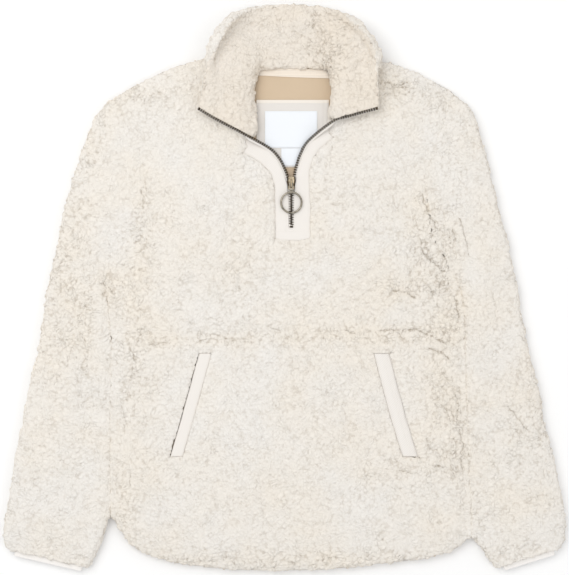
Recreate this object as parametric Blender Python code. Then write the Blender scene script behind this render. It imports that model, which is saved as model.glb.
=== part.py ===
"""Sherpa fleece pullover with a half zip, laid flat on its back with the collar open.

Metres, +Z up.  +Y runs from the hem to the collar.  "Left" is the side at -X, as seen
by someone looking down at the front.  The floor is z = 0.  The rows below are laid out
about a line a little off the middle of the whole piece, which is moved there at the end.
Every panel is a wall of fleece, worked out from rows that run across the garment.
"""

import math
from typing import NamedTuple

import bmesh
import bpy
import numpy as np
from mathutils import Vector

# ---------------------------------------------------------------- driving dimensions

PLAN_MIDDLE = (-0.0015, 0.0034)  # middle of the whole garment among the rows
FLEECE = 0.0065  # knit and pile together
SEAM_GAP = 0.0003  # between two pieces that are sewn or laid together
EDGE_ROLL = 0.008  # how far in from an edge the pile rounds over
SEAM_DIP = 0.28  # share of the pile that a seam draws down
EDGE_WALL = 0.32  # share of the pile left at a rounded edge

BACK_TOP = FLEECE
FRONT_UNDER = 0.0082  # underside of the front where it lies on the pocket bags
FULLNESS = 0.0012  # air under the front
FRONT_TOP = FRONT_UNDER + FULLNESS + FLEECE

YOKE_SEAM_Y = -0.060
SHOULDER_CROWN_LEFT = 0.014  # how far a shoulder seam bows above its chord
SHOULDER_CROWN_RIGHT = 0.010
NECK_DIP = 0.0145  # back neckline below the shoulder's neck points

PLACKET_WALL = 0.003
WELT_WALL = 0.0042
BAG_WALL = 0.0008
TAPE_WALL = 0.0007
TAPE_LEFT = -0.0405
TAPE_RIGHT = 0.0565
TAPE_Y = 0.2765  # lower edge of the neck tape at its ends
TAPE_SAG = 0.0040
TAPE_WIDTH = 0.0095

HALF_CHAIN_WIDTH = 0.0046
CLOSED_CHAIN_WIDTH = 0.0056
CHAIN_THICKNESS = 0.0026
CHAIN_HEIGHT = 0.0110  # middle of the chain above the floor
ZIP_EDGE_OFFSET = 0.0030  # cloth edge from the middle of a half chain

RING_RADIUS = 0.0131  # to the middle of the wire
RING_WIRE = 0.00125
RING_DROOP = math.radians(3.8)  # from its hinge line down to the cloth
PULL_HEIGHT = 0.0158  # the link's and the ring's hinge lines
LINK_HINGE_Y = 0.137
RING_HINGE_Y = 0.1255
PULL_X = 0.0068

CREAM_FLEECE = (0.83, 0.78, 0.71)
CREAM_TWILL = (0.87, 0.83, 0.78)
WHITE_WOVEN = (0.82, 0.85, 0.88)
TAN_KNIT = (0.70, 0.55, 0.38)
DARK_BRASS = (0.13, 0.10, 0.065)


# ---------------------------------------------------------------- sections of the body


class Across(NamedTuple):
    """One row across the yoke, from the left armhole to the right one."""

    arm_left: tuple
    placket_left: tuple
    zip_left: tuple
    zip_right: tuple
    placket_right: tuple
    arm_right: tuple


# From the yoke seam up to the neckline.  The zip columns are the middle of each chain.
YOKE_ROWS = [
    Across((-0.223, -0.060), (-0.015, -0.060), (0.004, -0.060), (0.009, -0.060), (0.032, -0.060), (0.228, -0.060)),
    Across((-0.225, -0.050), (-0.015, -0.050), (0.004, -0.050), (0.009, -0.050), (0.032, -0.050), (0.228, -0.050)),
    Across((-0.226, -0.026), (-0.015, -0.026), (0.004, -0.026), (0.009, -0.026), (0.032, -0.026), (0.227, -0.028)),
    Across((-0.230, 0.004), (-0.015, 0.006), (0.004, 0.006), (0.009, 0.006), (0.032, 0.006), (0.225, 0.002)),
    Across((-0.223, 0.034), (-0.015, 0.036), (0.004, 0.036), (0.009, 0.036), (0.032, 0.036), (0.206, 0.034)),
    Across((-0.210, 0.052), (-0.015, 0.055), (0.004, 0.055), (0.009, 0.055), (0.032, 0.055), (0.195, 0.053)),
    Across((-0.195, 0.072), (-0.015, 0.063), (0.004, 0.063), (0.009, 0.063), (0.032, 0.063), (0.187, 0.074)),
    Across((-0.187, 0.087), (-0.015, 0.079), (0.0063, 0.079), (0.0071, 0.079), (0.032, 0.079), (0.184, 0.088)),
    Across((-0.182, 0.104), (-0.015, 0.106), (0.0063, 0.106), (0.0071, 0.106), (0.032, 0.106), (0.182, 0.105)),
    Across((-0.179, 0.135), (-0.016, 0.134), (0.0055, 0.134), (0.0079, 0.134), (0.031, 0.134), (0.179, 0.130)),
    Across((-0.182, 0.159), (-0.020, 0.149), (-0.001, 0.154), (0.013, 0.158), (0.031, 0.154), (0.183, 0.158)),
    Across((-0.188, 0.181), (-0.031, 0.161), (-0.008, 0.168), (0.019, 0.176), (0.036, 0.170), (0.189, 0.180)),
    Across((-0.197, 0.199), (-0.044, 0.170), (-0.021, 0.182), (0.030, 0.193), (0.045, 0.182), (0.197, 0.203)),
    Across((-0.207, 0.218), (-0.058, 0.176), (-0.047, 0.196), (0.052, 0.213), (0.063, 0.196), (0.205, 0.223)),
]
PLACKET_FOOT_ROW = 6
CHAIN_END_ROW = 7
CLOSED_ROWS = (7, 8, 9)


class Neck(NamedTuple):
    """One row of the yoke above the placket, from an armhole to the neckline."""

    arm_left: tuple
    neck_left: tuple
    neck_right: tuple
    arm_right: tuple


# The first row ends beside the top of the placket's arms, by the zip.
NECK_ROWS = [
    Neck((-0.2105, 0.2255), (-0.0487, 0.1991), (0.0533, 0.2169), (0.2075, 0.2310)),
    Neck((-0.2150, 0.2340), (-0.0590, 0.2080), (0.0680, 0.2225), (0.2100, 0.2400)),
    Neck((-0.2195, 0.2410), (-0.0620, 0.2570), (0.0740, 0.2620), (0.2130, 0.2485)),
    Neck((-0.2225, 0.2460), (-0.0520, 0.3040), (0.0680, 0.3040), (0.2155, 0.2545)),
]
ARMPIT_ROW = 3


class Side(NamedTuple):
    """One row of the lower body, from side seam to side seam through both pockets."""

    left: float
    pocket_left: float
    pocket_right: float
    right: float
    y: float


LOWER_ROWS = [
    Side(-0.223, -0.109, 0.131, 0.228, YOKE_SEAM_Y - SEAM_GAP),
    Side(-0.223, -0.1120, 0.1340, 0.2280, -0.0685),
    Side(-0.223, -0.1135, 0.1355, 0.2285, -0.0760),
    Side(-0.223, -0.1140, 0.1360, 0.2290, -0.0800),
    Side(-0.223, -0.126, 0.147, 0.230, -0.124),
    Side(-0.224, -0.138, 0.159, 0.231, -0.168),
    Side(-0.224, -0.1510, 0.1730, 0.2330, -0.2130),
    Side(-0.224, -0.1520, 0.1745, 0.2332, -0.2175),
    Side(-0.224, -0.1570, 0.1800, 0.2340, -0.2340),
    Side(-0.223, -0.162, 0.188, 0.235, -0.262),
]
POCKET_TOP_ROW = 3
POCKET_FOOT_ROW = 6
POCKET_GAP = 0.0028
WELT_WIDTH = 0.0165
WELT_WIDTH_RIGHT = 0.0215

# The shirt-tail hem, left to right.
HEM = [
    (-0.223, -0.284),
    (-0.220, -0.294),
    (-0.214, -0.306),
    (-0.205, -0.322),
    (-0.190, -0.334),
    (-0.172, -0.342),
    (-0.146, -0.349),
    (-0.120, -0.354),
    (-0.059, -0.359),
    (0.000, -0.360),
    (0.056, -0.358),
    (0.108, -0.353),
    (0.146, -0.348),
    (0.184, -0.343),
    (0.210, -0.336),
    (0.224, -0.328),
    (0.232, -0.320),
    (0.236, -0.311),
]


# ---------------------------------------------------------------- sections of the sleeves


class Sleeve(NamedTuple):
    """One section of a flattened sleeve: its edge at the body and its outer edge."""

    inner: tuple
    outer: tuple


# Outer edges opposite the armhole rows, from the armpit up.
SLEEVE_CAP_LEFT = [
    (-0.307, 0.000),
    (-0.300, 0.029),
    (-0.296, 0.050),
    (-0.2915, 0.071),
    (-0.2885, 0.087),
    (-0.2850, 0.104),
    (-0.2770, 0.133),
    (-0.2690, 0.157),
    (-0.2620, 0.179),
    (-0.2555, 0.197),
    (-0.2475, 0.2155),
    (-0.2425, 0.2250),
    (-0.2370, 0.2325),
    (-0.2290, 0.2405),
]
SLEEVE_CAP_RIGHT = [
    (0.298, 0.002),
    (0.291, 0.031),
    (0.287, 0.052),
    (0.282, 0.074),
    (0.2775, 0.088),
    (0.2730, 0.104),
    (0.2675, 0.130),
    (0.2605, 0.158),
    (0.2545, 0.180),
    (0.2490, 0.203),
    (0.2425, 0.2215),
    (0.2385, 0.2300),
    (0.2325, 0.2375),
    (0.2235, 0.2455),
]
SLEEVE_ROWS_LEFT = [
    Sleeve((-0.2285, -0.016), (-0.310, -0.020)),
    Sleeve((-0.2264, -0.036), (-0.312, -0.040)),
    Sleeve((-0.2242, -0.074), (-0.319, -0.080)),
    Sleeve((-0.2242, -0.127), (-0.332, -0.131)),
    Sleeve((-0.2250, -0.179), (-0.341, -0.181)),
    Sleeve((-0.2250, -0.230), (-0.350, -0.230)),
    Sleeve((-0.2248, -0.275), (-0.357, -0.274)),
    Sleeve((-0.2320, -0.310), (-0.361, -0.300)),
    Sleeve((-0.2430, -0.338), (-0.362, -0.319)),
    Sleeve((-0.2485, -0.349), (-0.3605, -0.326)),
    Sleeve((-0.2520, -0.356), (-0.357, -0.332)),
]
SLEEVE_ROWS_RIGHT = [
    Sleeve((0.2276, -0.018), (0.300, -0.020)),
    Sleeve((0.2287, -0.038), (0.304, -0.038)),
    Sleeve((0.2298, -0.074), (0.311, -0.074)),
    Sleeve((0.2312, -0.127), (0.324, -0.125)),
    Sleeve((0.2325, -0.179), (0.333, -0.176)),
    Sleeve((0.2348, -0.230), (0.346, -0.224)),
    Sleeve((0.2364, -0.275), (0.355, -0.268)),
    Sleeve((0.2382, -0.313), (0.359, -0.295)),
    Sleeve((0.2580, -0.342), (0.358, -0.316)),
    Sleeve((0.2650, -0.351), (0.3560, -0.324)),
    Sleeve((0.2690, -0.356), (0.3525, -0.330)),
]
CUFF_OPENING = 0.0048  # height of the slot that holds the cuff band
CUFF_BAND_SHOWS = 0.0065
CUFF_BAND_TUCK = 0.008


# ---------------------------------------------------------------- sections of the collar


class Stand(NamedTuple):
    """One section up the collar: lining's lower edge, neck seam, bulge and top edge.

    The heights are those of the face between the two layers of fleece.
    """

    lining: tuple
    seam: tuple
    bulge: tuple
    top: tuple
    seam_height: float
    bulge_height: float
    top_height: float


# From the left front edge round the back to the right front edge.
COLLAR_ROWS = [
    Stand((-0.0445, 0.1985), (-0.0555, 0.2047), (-0.0813, 0.2185), (-0.1105, 0.2355), 0.0236, 0.0246, 0.028),
    Stand((-0.043, 0.212), (-0.059, 0.219), (-0.086, 0.235), (-0.109, 0.249), 0.0236, 0.0250, 0.031),
    Stand((-0.042, 0.228), (-0.061, 0.236), (-0.087, 0.253), (-0.105, 0.266), 0.0236, 0.0255, 0.035),
    Stand((-0.042, 0.246), (-0.061, 0.257), (-0.090, 0.275), (-0.099, 0.283), 0.0236, 0.0255, 0.039),
    Stand((-0.042, 0.262), (-0.060, 0.278), (-0.098, 0.297), (-0.089, 0.302), 0.0236, 0.0260, 0.042),
    Stand((-0.037, 0.273), (-0.053, 0.298), (-0.0905, 0.3185), (-0.079, 0.323), 0.0215, 0.0240, 0.042),
    Stand((-0.029, 0.279), (-0.041, 0.304), (-0.0765, 0.3375), (-0.066, 0.342), 0.0165, 0.0180, 0.036),
    Stand((-0.015, 0.281), (-0.023, 0.297), (-0.0500, 0.3510), (-0.044, 0.358), 0.0095, 0.0105, 0.022),
    Stand((0.008, 0.281), (0.008, 0.2915), (0.008, 0.340), (0.008, 0.3665), 0.0069, 0.0072, 0.0120),
    Stand((0.031, 0.281), (0.039, 0.297), (0.0610, 0.3510), (0.058, 0.358), 0.0095, 0.0105, 0.021),
    Stand((0.046, 0.279), (0.058, 0.304), (0.0870, 0.3385), (0.082, 0.342), 0.0165, 0.0180, 0.035),
    Stand((0.053, 0.272), (0.069, 0.298), (0.1025, 0.3180), (0.100, 0.323), 0.0215, 0.0240, 0.041),
    Stand((0.057, 0.261), (0.075, 0.277), (0.1155, 0.2965), (0.111, 0.301), 0.0236, 0.0260, 0.041),
    Stand((0.058, 0.248), (0.075, 0.258), (0.104, 0.272), (0.115, 0.279), 0.0236, 0.0255, 0.038),
    Stand((0.058, 0.236), (0.073, 0.243), (0.101, 0.252), (0.117, 0.258), 0.0236, 0.0255, 0.034),
    Stand((0.057, 0.225), (0.070, 0.230), (0.097, 0.238), (0.118, 0.245), 0.0236, 0.0250, 0.030),
    Stand((0.0545, 0.2185), (0.0655, 0.2220), (0.0895, 0.2285), (0.1160, 0.2352), 0.0236, 0.0246, 0.028),
]
LINING_FOOT_HEIGHT = 0.0084  # underside of the lining where it meets the inside of the back
FOOT_STEPS = 3  # rows of the lining below the neck seam
STAND_STEPS = 6
EVENING_PASSES = 2

# The zip along the collar's front edges, from the neck seam to the top: x, y, height.
COLLAR_ZIP_LEFT = [(-0.051, 0.198, 0.0225), (-0.072, 0.209, 0.0240), (-0.093, 0.220, 0.0252), (-0.112, 0.2315, 0.0278)]
SLIDER_MOUTH_LEFT = [(0.0034, 0.1408), (0.0012, 0.1475)]  # where each open half leaves the slider
SLIDER_MOUTH_RIGHT = [(0.0099, 0.1408), (0.0108, 0.1475)]
COLLAR_ZIP_RIGHT = [(0.0605, 0.2160, 0.0225), (0.0775, 0.2210, 0.0240), (0.097, 0.2265, 0.0255), (0.117, 0.2315, 0.0278)]


# ---------------------------------------------------------------- large folds


class Fold(NamedTuple):
    """A soft ridge, or a trough where its height is negative."""

    start: tuple
    end: tuple
    width: float
    height: float


FOLDS = [
    Fold((-0.229, 0.190), (-0.233, 0.098), 0.017, 0.0028),
    Fold((-0.236, 0.070), (-0.208, 0.010), 0.016, -0.0030),
    Fold((-0.262, 0.060), (-0.246, -0.010), 0.016, 0.0022),
    Fold((-0.150, 0.190), (-0.110, 0.040), 0.026, 0.0022),
    Fold((-0.092, 0.140), (-0.092, 0.030), 0.024, 0.0026),
    Fold((-0.045, 0.030), (-0.045, -0.055), 0.022, -0.0016),
    Fold((0.105, 0.150), (0.118, 0.020), 0.024, 0.0024),
    Fold((0.110, 0.000), (0.170, -0.012), 0.016, -0.0018),
    Fold((0.165, -0.050), (0.206, -0.082), 0.015, -0.0024),
    Fold((0.176, 0.110), (0.216, -0.010), 0.016, 0.0028),
    Fold((-0.197, -0.080), (-0.190, -0.250), 0.020, 0.0026),
    Fold((-0.176, -0.230), (-0.100, -0.320), 0.024, 0.0018),
    Fold((0.205, -0.070), (0.212, -0.240), 0.019, 0.0026),
    Fold((0.060, -0.110), (0.070, -0.290), 0.034, 0.0016),
    Fold((-0.060, -0.120), (-0.040, -0.290), 0.032, 0.0014),
    Fold((0.218, 0.209), (0.226, 0.140), 0.016, 0.0026),
    Fold((0.262, 0.060), (0.246, -0.060), 0.017, 0.0026),
    Fold((-0.290, -0.060), (-0.300, -0.160), 0.020, 0.0020),
    Fold((-0.262, -0.120), (-0.270, -0.240), 0.018, -0.0016),
    Fold((0.290, -0.100), (0.296, -0.200), 0.020, 0.0020),
    Fold((0.268, -0.180), (0.284, -0.290), 0.017, -0.0016),
    Fold((-0.320, -0.240), (-0.300, -0.310), 0.020, 0.0018),
    Fold((0.330, -0.210), (0.318, -0.290), 0.020, 0.0018),
]


def fold_height(points):
    """Height that the folds add at each point of the plan."""
    total = np.zeros(points.shape[:-1])
    for fold in FOLDS:
        start = np.array(fold.start)
        run = np.array(fold.end) - start
        along = ((points - start) @ run) / (run @ run)
        nearest = start + np.clip(along, 0.0, 1.0)[..., None] * run
        away = np.linalg.norm(points - nearest, axis=-1) / fold.width
        total += fold.height * np.exp(-(away**2))
    return total


# ---------------------------------------------------------------- mesh helpers


def material(name, colour, roughness, metallic=0.0):
    """A Principled material, made once and shared."""
    found = bpy.data.materials.get(name)
    if found:
        return found
    made = bpy.data.materials.new(name)
    made.use_nodes = True
    shader = made.node_tree.nodes["Principled BSDF"]
    shader.inputs["Base Color"].default_value = (*colour, 1.0)
    shader.inputs["Roughness"].default_value = roughness
    shader.inputs["Metallic"].default_value = metallic
    made.diffuse_color = (*colour, 1.0)
    return made


def link_mesh(name, mesh_data, finish, smooth=True):
    """Puts a bmesh in the scene as one object with its normals pointing out."""
    bmesh.ops.recalc_face_normals(mesh_data, faces=mesh_data.faces)
    mesh = bpy.data.meshes.new(name)
    mesh_data.to_mesh(mesh)
    mesh_data.free()
    if smooth:
        mesh.shade_smooth()
    mesh.materials.append(finish)
    obj = bpy.data.objects.new(name, mesh)
    bpy.context.scene.collection.objects.link(obj)
    return obj


def wall_between(name, outer, inner, keep, finish, wrap=False):
    """A closed wall between two grids of points, over the cells that are kept.

    With wrap, the last column joins the first, where keep has a column for it.
    """
    rows, columns = outer.shape[:2]
    made = bmesh.new()
    corners = {}

    def vertex(side, row, column):
        column %= columns
        key = (side, row, column)
        if key not in corners:
            grid = outer if side else inner
            corners[key] = made.verts.new(grid[row, column])
        return corners[key]

    cell_columns = keep.shape[1]

    def kept(row, column):
        if wrap:
            column %= columns
        inside = 0 <= row < rows - 1 and 0 <= column < cell_columns
        return inside and bool(keep[row, column])

    for row in range(rows - 1):
        for column in range(cell_columns):
            if not kept(row, column):
                continue
            ring = [(row, column), (row, column + 1), (row + 1, column + 1), (row + 1, column)]
            made.faces.new([vertex(True, *corner) for corner in ring])
            made.faces.new([vertex(False, *corner) for corner in reversed(ring)])
            beside = [(row - 1, column), (row, column + 1), (row + 1, column), (row, column - 1)]
            for step, neighbour in enumerate(beside):
                if kept(*neighbour):
                    continue
                here = ring[step]
                there = ring[(step + 1) % 4]
                made.faces.new(
                    [vertex(True, *there), vertex(True, *here), vertex(False, *here), vertex(False, *there)]
                )
    return link_mesh(name, made, finish)


def slab(name, corners, base, wall, finish):
    """A flat piece of cloth from its corners, standing on base."""
    made = bmesh.new()
    lower = made.faces.new([made.verts.new((x, y, base)) for x, y in corners])
    raised = bmesh.ops.extrude_face_region(made, geom=[lower])["geom"]
    upper = [item for item in raised if isinstance(item, bmesh.types.BMVert)]
    bmesh.ops.translate(made, verts=upper, vec=(0.0, 0.0, wall))
    return link_mesh(name, made, finish, smooth=False)


def away_from(points, line):
    """Distance of each plan point from a polyline."""
    line = np.array(line)[:, :2]
    nearest = np.full(points.shape[:-1], np.inf)
    for start, end in zip(line[:-1], line[1:]):
        run = end - start
        along = np.clip(((points - start) @ run) / max(run @ run, 1e-12), 0.0, 1.0)
        gap = np.linalg.norm(points - (start + along[..., None] * run), axis=-1)
        nearest = np.minimum(nearest, gap)
    return nearest


def ease(share):
    """A smooth step from 0 to 1."""
    share = np.clip(share, 0.0, 1.0)
    return share * share * (3.0 - 2.0 * share)


def rounded(distance, reach=EDGE_ROLL):
    """Share of the pile's height at a distance in from a rounded edge."""
    share = np.clip(distance / reach, 0.0, 1.0)
    return EDGE_WALL + (1.0 - EDGE_WALL) * np.sqrt(1.0 - (1.0 - share) ** 2)


def drawn_down(distance, reach=0.010):
    """Share of the pile's height at a distance from a seam."""
    return 1.0 - SEAM_DIP * (1.0 - ease(distance / reach))


def across(start, end, steps, rim_start=True, rim_end=True):
    """Points from start to end, with extra ones near a rounded rim at either end."""
    start = np.array(start)
    end = np.array(end)
    length = np.linalg.norm(end - start)
    rims = [0.0025 / length, EDGE_ROLL / length]
    shares = [0.0]
    first = 0.0
    last = 1.0
    if rim_start:
        shares += rims
        first = rims[-1]
    if rim_end:
        last = 1.0 - rims[-1]
    shares += list(np.linspace(first, last, steps + 1)[1:-1])
    if rim_end:
        shares += [1.0 - rims[1], 1.0 - rims[0]]
    shares.append(1.0)
    return [start + share * (end - start) for share in shares]


# ---------------------------------------------------------------- outlines shared by pieces


def line_normals(points):
    """Unit plan normals of a line, to the left of its direction."""
    points = np.array(points)
    along = np.gradient(points, axis=0)
    normal = np.stack([-along[:, 1], along[:, 0]], axis=1)
    return normal / np.linalg.norm(normal, axis=1)[:, None]


def zip_cloth_edges():
    """Cloth edges on both sides of the zip, one point for each yoke row."""
    left = np.array([row.zip_left for row in YOKE_ROWS])
    right = np.array([row.zip_right for row in YOKE_ROWS])
    left = left + ZIP_EDGE_OFFSET * line_normals(left)
    right = right - ZIP_EDGE_OFFSET * line_normals(right)
    return left, right


def shoulder_bow(share, side):
    """Rise of a shoulder seam over its chord, at a share of its length."""
    crown = SHOULDER_CROWN_LEFT if side == "arm_left" else SHOULDER_CROWN_RIGHT
    return crown * np.sin(math.pi * share)


def armhole(side):
    """Armhole points from the armpit to the shoulder tip."""
    rows = [getattr(row, side) for row in YOKE_ROWS[ARMPIT_ROW:]]
    return rows + [getattr(row, side) for row in NECK_ROWS]


def side_seam(side):
    """Points from the hem's corner up to the armpit."""
    name = "left" if side == "arm_left" else "right"
    corner = HEM[0] if name == "left" else HEM[-1]
    lower = [(getattr(row, name), row.y) for row in reversed(LOWER_ROWS)]
    upper = [getattr(row, side) for row in YOKE_ROWS[: ARMPIT_ROW + 1]]
    return [corner] + lower + upper


def shoulder_line(side):
    """Points of a shoulder seam from its tip to the neck."""
    tip = np.array(getattr(NECK_ROWS[-1], side))
    neck = np.array(getattr(NECK_ROWS[-1], side.replace("arm", "neck")))
    points = []
    for share in np.linspace(0.0, 1.0, 9):
        point = tip + share * (neck - tip)
        points.append((point[0], point[1] + shoulder_bow(share, side)))
    return points


def hem_height(x):
    """Height of the hem at x."""
    return np.interp(x, [point[0] for point in HEM], [point[1] for point in HEM])


# ---------------------------------------------------------------- back


def make_back(finish):
    """The back panel: flat under, and flat inside where the front lies on it."""
    side_rows = side_seam("arm_left"), side_seam("arm_right")
    arm_rows = armhole("arm_left")[1:], armhole("arm_right")[1:]
    lefts = side_rows[0][1:] + arm_rows[0]
    rights = side_rows[1][1:] + arm_rows[1]
    neck_left, neck_right = NECK_ROWS[-1].neck_left, NECK_ROWS[-1].neck_right
    tip_left, tip_right = NECK_ROWS[-1].arm_left, NECK_ROWS[-1].arm_right
    width = tip_right[0] - tip_left[0]
    marks = [0.0, (neck_left[0] - tip_left[0]) / width, (neck_right[0] - tip_left[0]) / width, 1.0]
    rim = np.array([0.0025, EDGE_ROLL]) / width
    shares = np.concatenate(
        [
            [0.0],
            rim,
            np.linspace(rim[-1], marks[1], 5)[1:],
            np.linspace(marks[1], marks[2], 7)[1:],
            np.linspace(marks[2], 1.0 - rim[-1], 5)[1:],
            1.0 - rim[::-1][1:],
            [1.0],
        ]
    )

    chord = tip_right[1] - tip_left[1]

    def top_rise(share):
        if share <= marks[1]:
            part = share / marks[1]
            return part * (neck_left[1] - tip_left[1]) + shoulder_bow(part, "arm_left")
        if share >= marks[2]:
            part = (1.0 - share) / (1.0 - marks[2])
            rise = part * (neck_right[1] - tip_right[1]) + shoulder_bow(part, "arm_right")
            return chord + rise
        part = (share - marks[1]) / (marks[2] - marks[1])
        return neck_left[1] - tip_left[1] - NECK_DIP * math.sin(math.pi * part)

    armpit = lefts[len(side_rows[0]) - 2][1]
    plan = []
    for left, right in zip(lefts, rights):
        reach = ease((left[1] - armpit) / (tip_left[1] - armpit)) if left[1] > armpit else 0.0
        row = []
        for share in shares:
            x = left[0] + share * (right[0] - left[0])
            y = left[1] + share * (right[1] - left[1]) + reach * (top_rise(share) - chord * share)
            row.append((x, y))
        plan.append(row)
    # Below the lowest side row, the panel runs down to the hem.
    lowest = plan[0]
    hem_x = np.interp(shares, [0.0, 1.0], [HEM[0][0], HEM[-1][0]])
    rows = []
    for part in (0.0, 0.04, 0.12, 0.5):
        row = []
        for x, point in zip(hem_x, lowest):
            foot = np.array((x, hem_height(x)))
            row.append(tuple(foot + part * (np.array(point) - foot)))
        rows.append(row)
    plan = np.array(rows + plan)
    outline = np.concatenate([plan[:, 0], plan[-1], plan[::-1, -1], plan[0, ::-1]])
    edge = away_from(plan, outline)
    share = rounded(edge)
    over = BACK_TOP - FLEECE * 0.25 * (1.0 - share) / (1.0 - EDGE_WALL)
    under = FLEECE * 0.42 * (1.0 - share) / (1.0 - EDGE_WALL)
    outer = np.dstack([plan, over])
    inner = np.dstack([plan, under])
    keep = np.ones((plan.shape[0] - 1, plan.shape[1] - 1), bool)
    return wall_between("back", outer, inner, keep, finish)


# ---------------------------------------------------------------- front


def front_under(plan, sewn_to_back):
    """Underside of the front: it lies on the back's edge where the two are sewn."""
    edge = away_from(plan, sewn_to_back)
    at_seam = BACK_TOP + SEAM_GAP
    inside = FRONT_UNDER + FULLNESS + np.maximum(fold_height(plan), -FULLNESS)
    return at_seam + (inside - at_seam) * ease(edge / 0.020)


def yoke_plan():
    """The yoke's grid of plan points, and the column where each part of it ends."""
    zip_left, zip_right = zip_cloth_edges()
    rows = []
    for index, row in enumerate(YOKE_ROWS):
        left = across(row.arm_left, row.placket_left, 8)
        right = across(row.placket_right, row.arm_right, 8)
        gap = np.array((SEAM_GAP, 0.0))
        placket_left = across(left[-1] + gap, zip_left[index], 2, False, False)
        placket_right = across(zip_right[index], right[0] - gap, 2, False, False)
        rows.append(left + placket_left + placket_right + right)
    marks = np.cumsum([len(left), len(placket_left), len(placket_right), len(right)]) - 1
    return np.array(rows), marks


def make_yoke(fleece, twill):
    """The yoke and, in its cut-out, the placket."""
    plan, marks = yoke_plan()
    left_end, zip_left_end, zip_right_end, _ = marks
    # The row under the placket's foot is moved off it by the seam's gap.
    below_foot = plan[PLACKET_FOOT_ROW].copy()
    below_foot[:, 1] -= SEAM_GAP
    plan = np.insert(plan, PLACKET_FOOT_ROW, below_foot, axis=0)
    foot = PLACKET_FOOT_ROW + 1
    chain_end = CHAIN_END_ROW + 1
    rows = plan.shape[0]

    # Above the placket, only the two sides go on, up to the shoulder seams.
    side_left = plan[:, : left_end + 1]
    side_right = plan[:, zip_right_end + 1 :]
    top_left = []
    top_right = []
    for index, row in enumerate(NECK_ROWS):
        bow = ease(index / (len(NECK_ROWS) - 1))
        left = np.array(across(row.arm_left, row.neck_left, 8))
        right = np.array(across(row.neck_right, row.arm_right, 8))
        shares = np.linspace(0.0, 1.0, len(left))
        shares = np.linalg.norm(left - left[0], axis=1) / np.linalg.norm(left[-1] - left[0])
        left[:, 1] += bow * shoulder_bow(shares, "arm_left")
        shares = np.linalg.norm(right - right[0], axis=1) / np.linalg.norm(right[-1] - right[0])
        right[:, 1] += bow * shoulder_bow(1.0 - shares, "arm_right")
        top_left.append(left)
        top_right.append(right)
    middle = plan[-1, left_end + 1 : zip_right_end + 1]
    top = [np.concatenate([left, middle, right]) for left, right in zip(top_left, top_right)]
    whole = np.concatenate([plan, np.array(top)])

    keep = np.ones((whole.shape[0] - 1, whole.shape[1] - 1), bool)
    keep[foot - 1 : rows - 1, left_end : zip_right_end + 1] = False
    keep[rows - 1 :, left_end : zip_right_end + 1] = False

    sewn = side_seam("arm_left")[:-1] + armhole("arm_left")[:1]
    sewn_right = side_seam("arm_right")
    under = np.minimum(front_under(whole, sewn), front_under(whole, sewn_right))
    for side in ("arm_left", "arm_right"):
        under = np.minimum(under, front_under(whole, shoulder_line(side)))

    share = np.ones(under.shape)
    for side in ("arm_left", "arm_right"):
        share = np.minimum(share, rounded(away_from(whole, side_seam(side))))
        share = np.minimum(share, rounded(away_from(whole, shoulder_line(side))))
        share = np.minimum(share, drawn_down(away_from(whole, armhole(side)), 0.014))
    share = np.minimum(share, drawn_down(away_from(whole, whole[0])))
    opening = np.concatenate(
        [
            whole[foot - 1 :, left_end][::-1],
            whole[foot - 1, left_end : zip_right_end + 2],
            whole[foot - 1 :, zip_right_end + 1],
        ]
    )
    share = np.minimum(share, rounded(away_from(whole, opening), 0.005))
    over = under + FLEECE * share
    wall_between("front_upper", np.dstack([whole, over]), np.dstack([whole, under]), keep, fleece)

    # The placket fills the cut-out on both sides of the zip and below its end.
    strip = plan[foot:, left_end + 1 : zip_right_end + 1]
    keep = np.ones((strip.shape[0] - 1, strip.shape[1] - 1), bool)
    slit = zip_left_end - left_end - 1
    keep[chain_end - foot :, slit] = False
    base = np.full(strip.shape[:2], FRONT_UNDER + FULLNESS)
    top = base + PLACKET_WALL
    wall_between("placket", np.dstack([strip, top]), np.dstack([strip, base]), keep, twill)


def lower_columns(row, index):
    """Plan points of one row of the lower front, and the columns of its parts."""
    y = row.y
    gap = SEAM_GAP
    welt_left = row.pocket_left + POCKET_GAP
    welt_left_end = welt_left + WELT_WIDTH
    welt_right_end = row.pocket_right - POCKET_GAP
    welt_right = welt_right_end - WELT_WIDTH_RIGHT
    parts = [
        across((row.left, y), (row.pocket_left, y), 3),
        across((welt_left, y), (welt_left_end, y), 2, False, False),
        across((welt_left_end + gap, y), (welt_right - gap, y), 9),
        across((welt_right, y), (welt_right_end, y), 2, False, False),
        across((row.pocket_right, y), (row.right, y), 3),
    ]
    marks = np.cumsum([len(part) for part in parts]) - 1
    return np.array([point for part in parts for point in part]), marks


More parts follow.
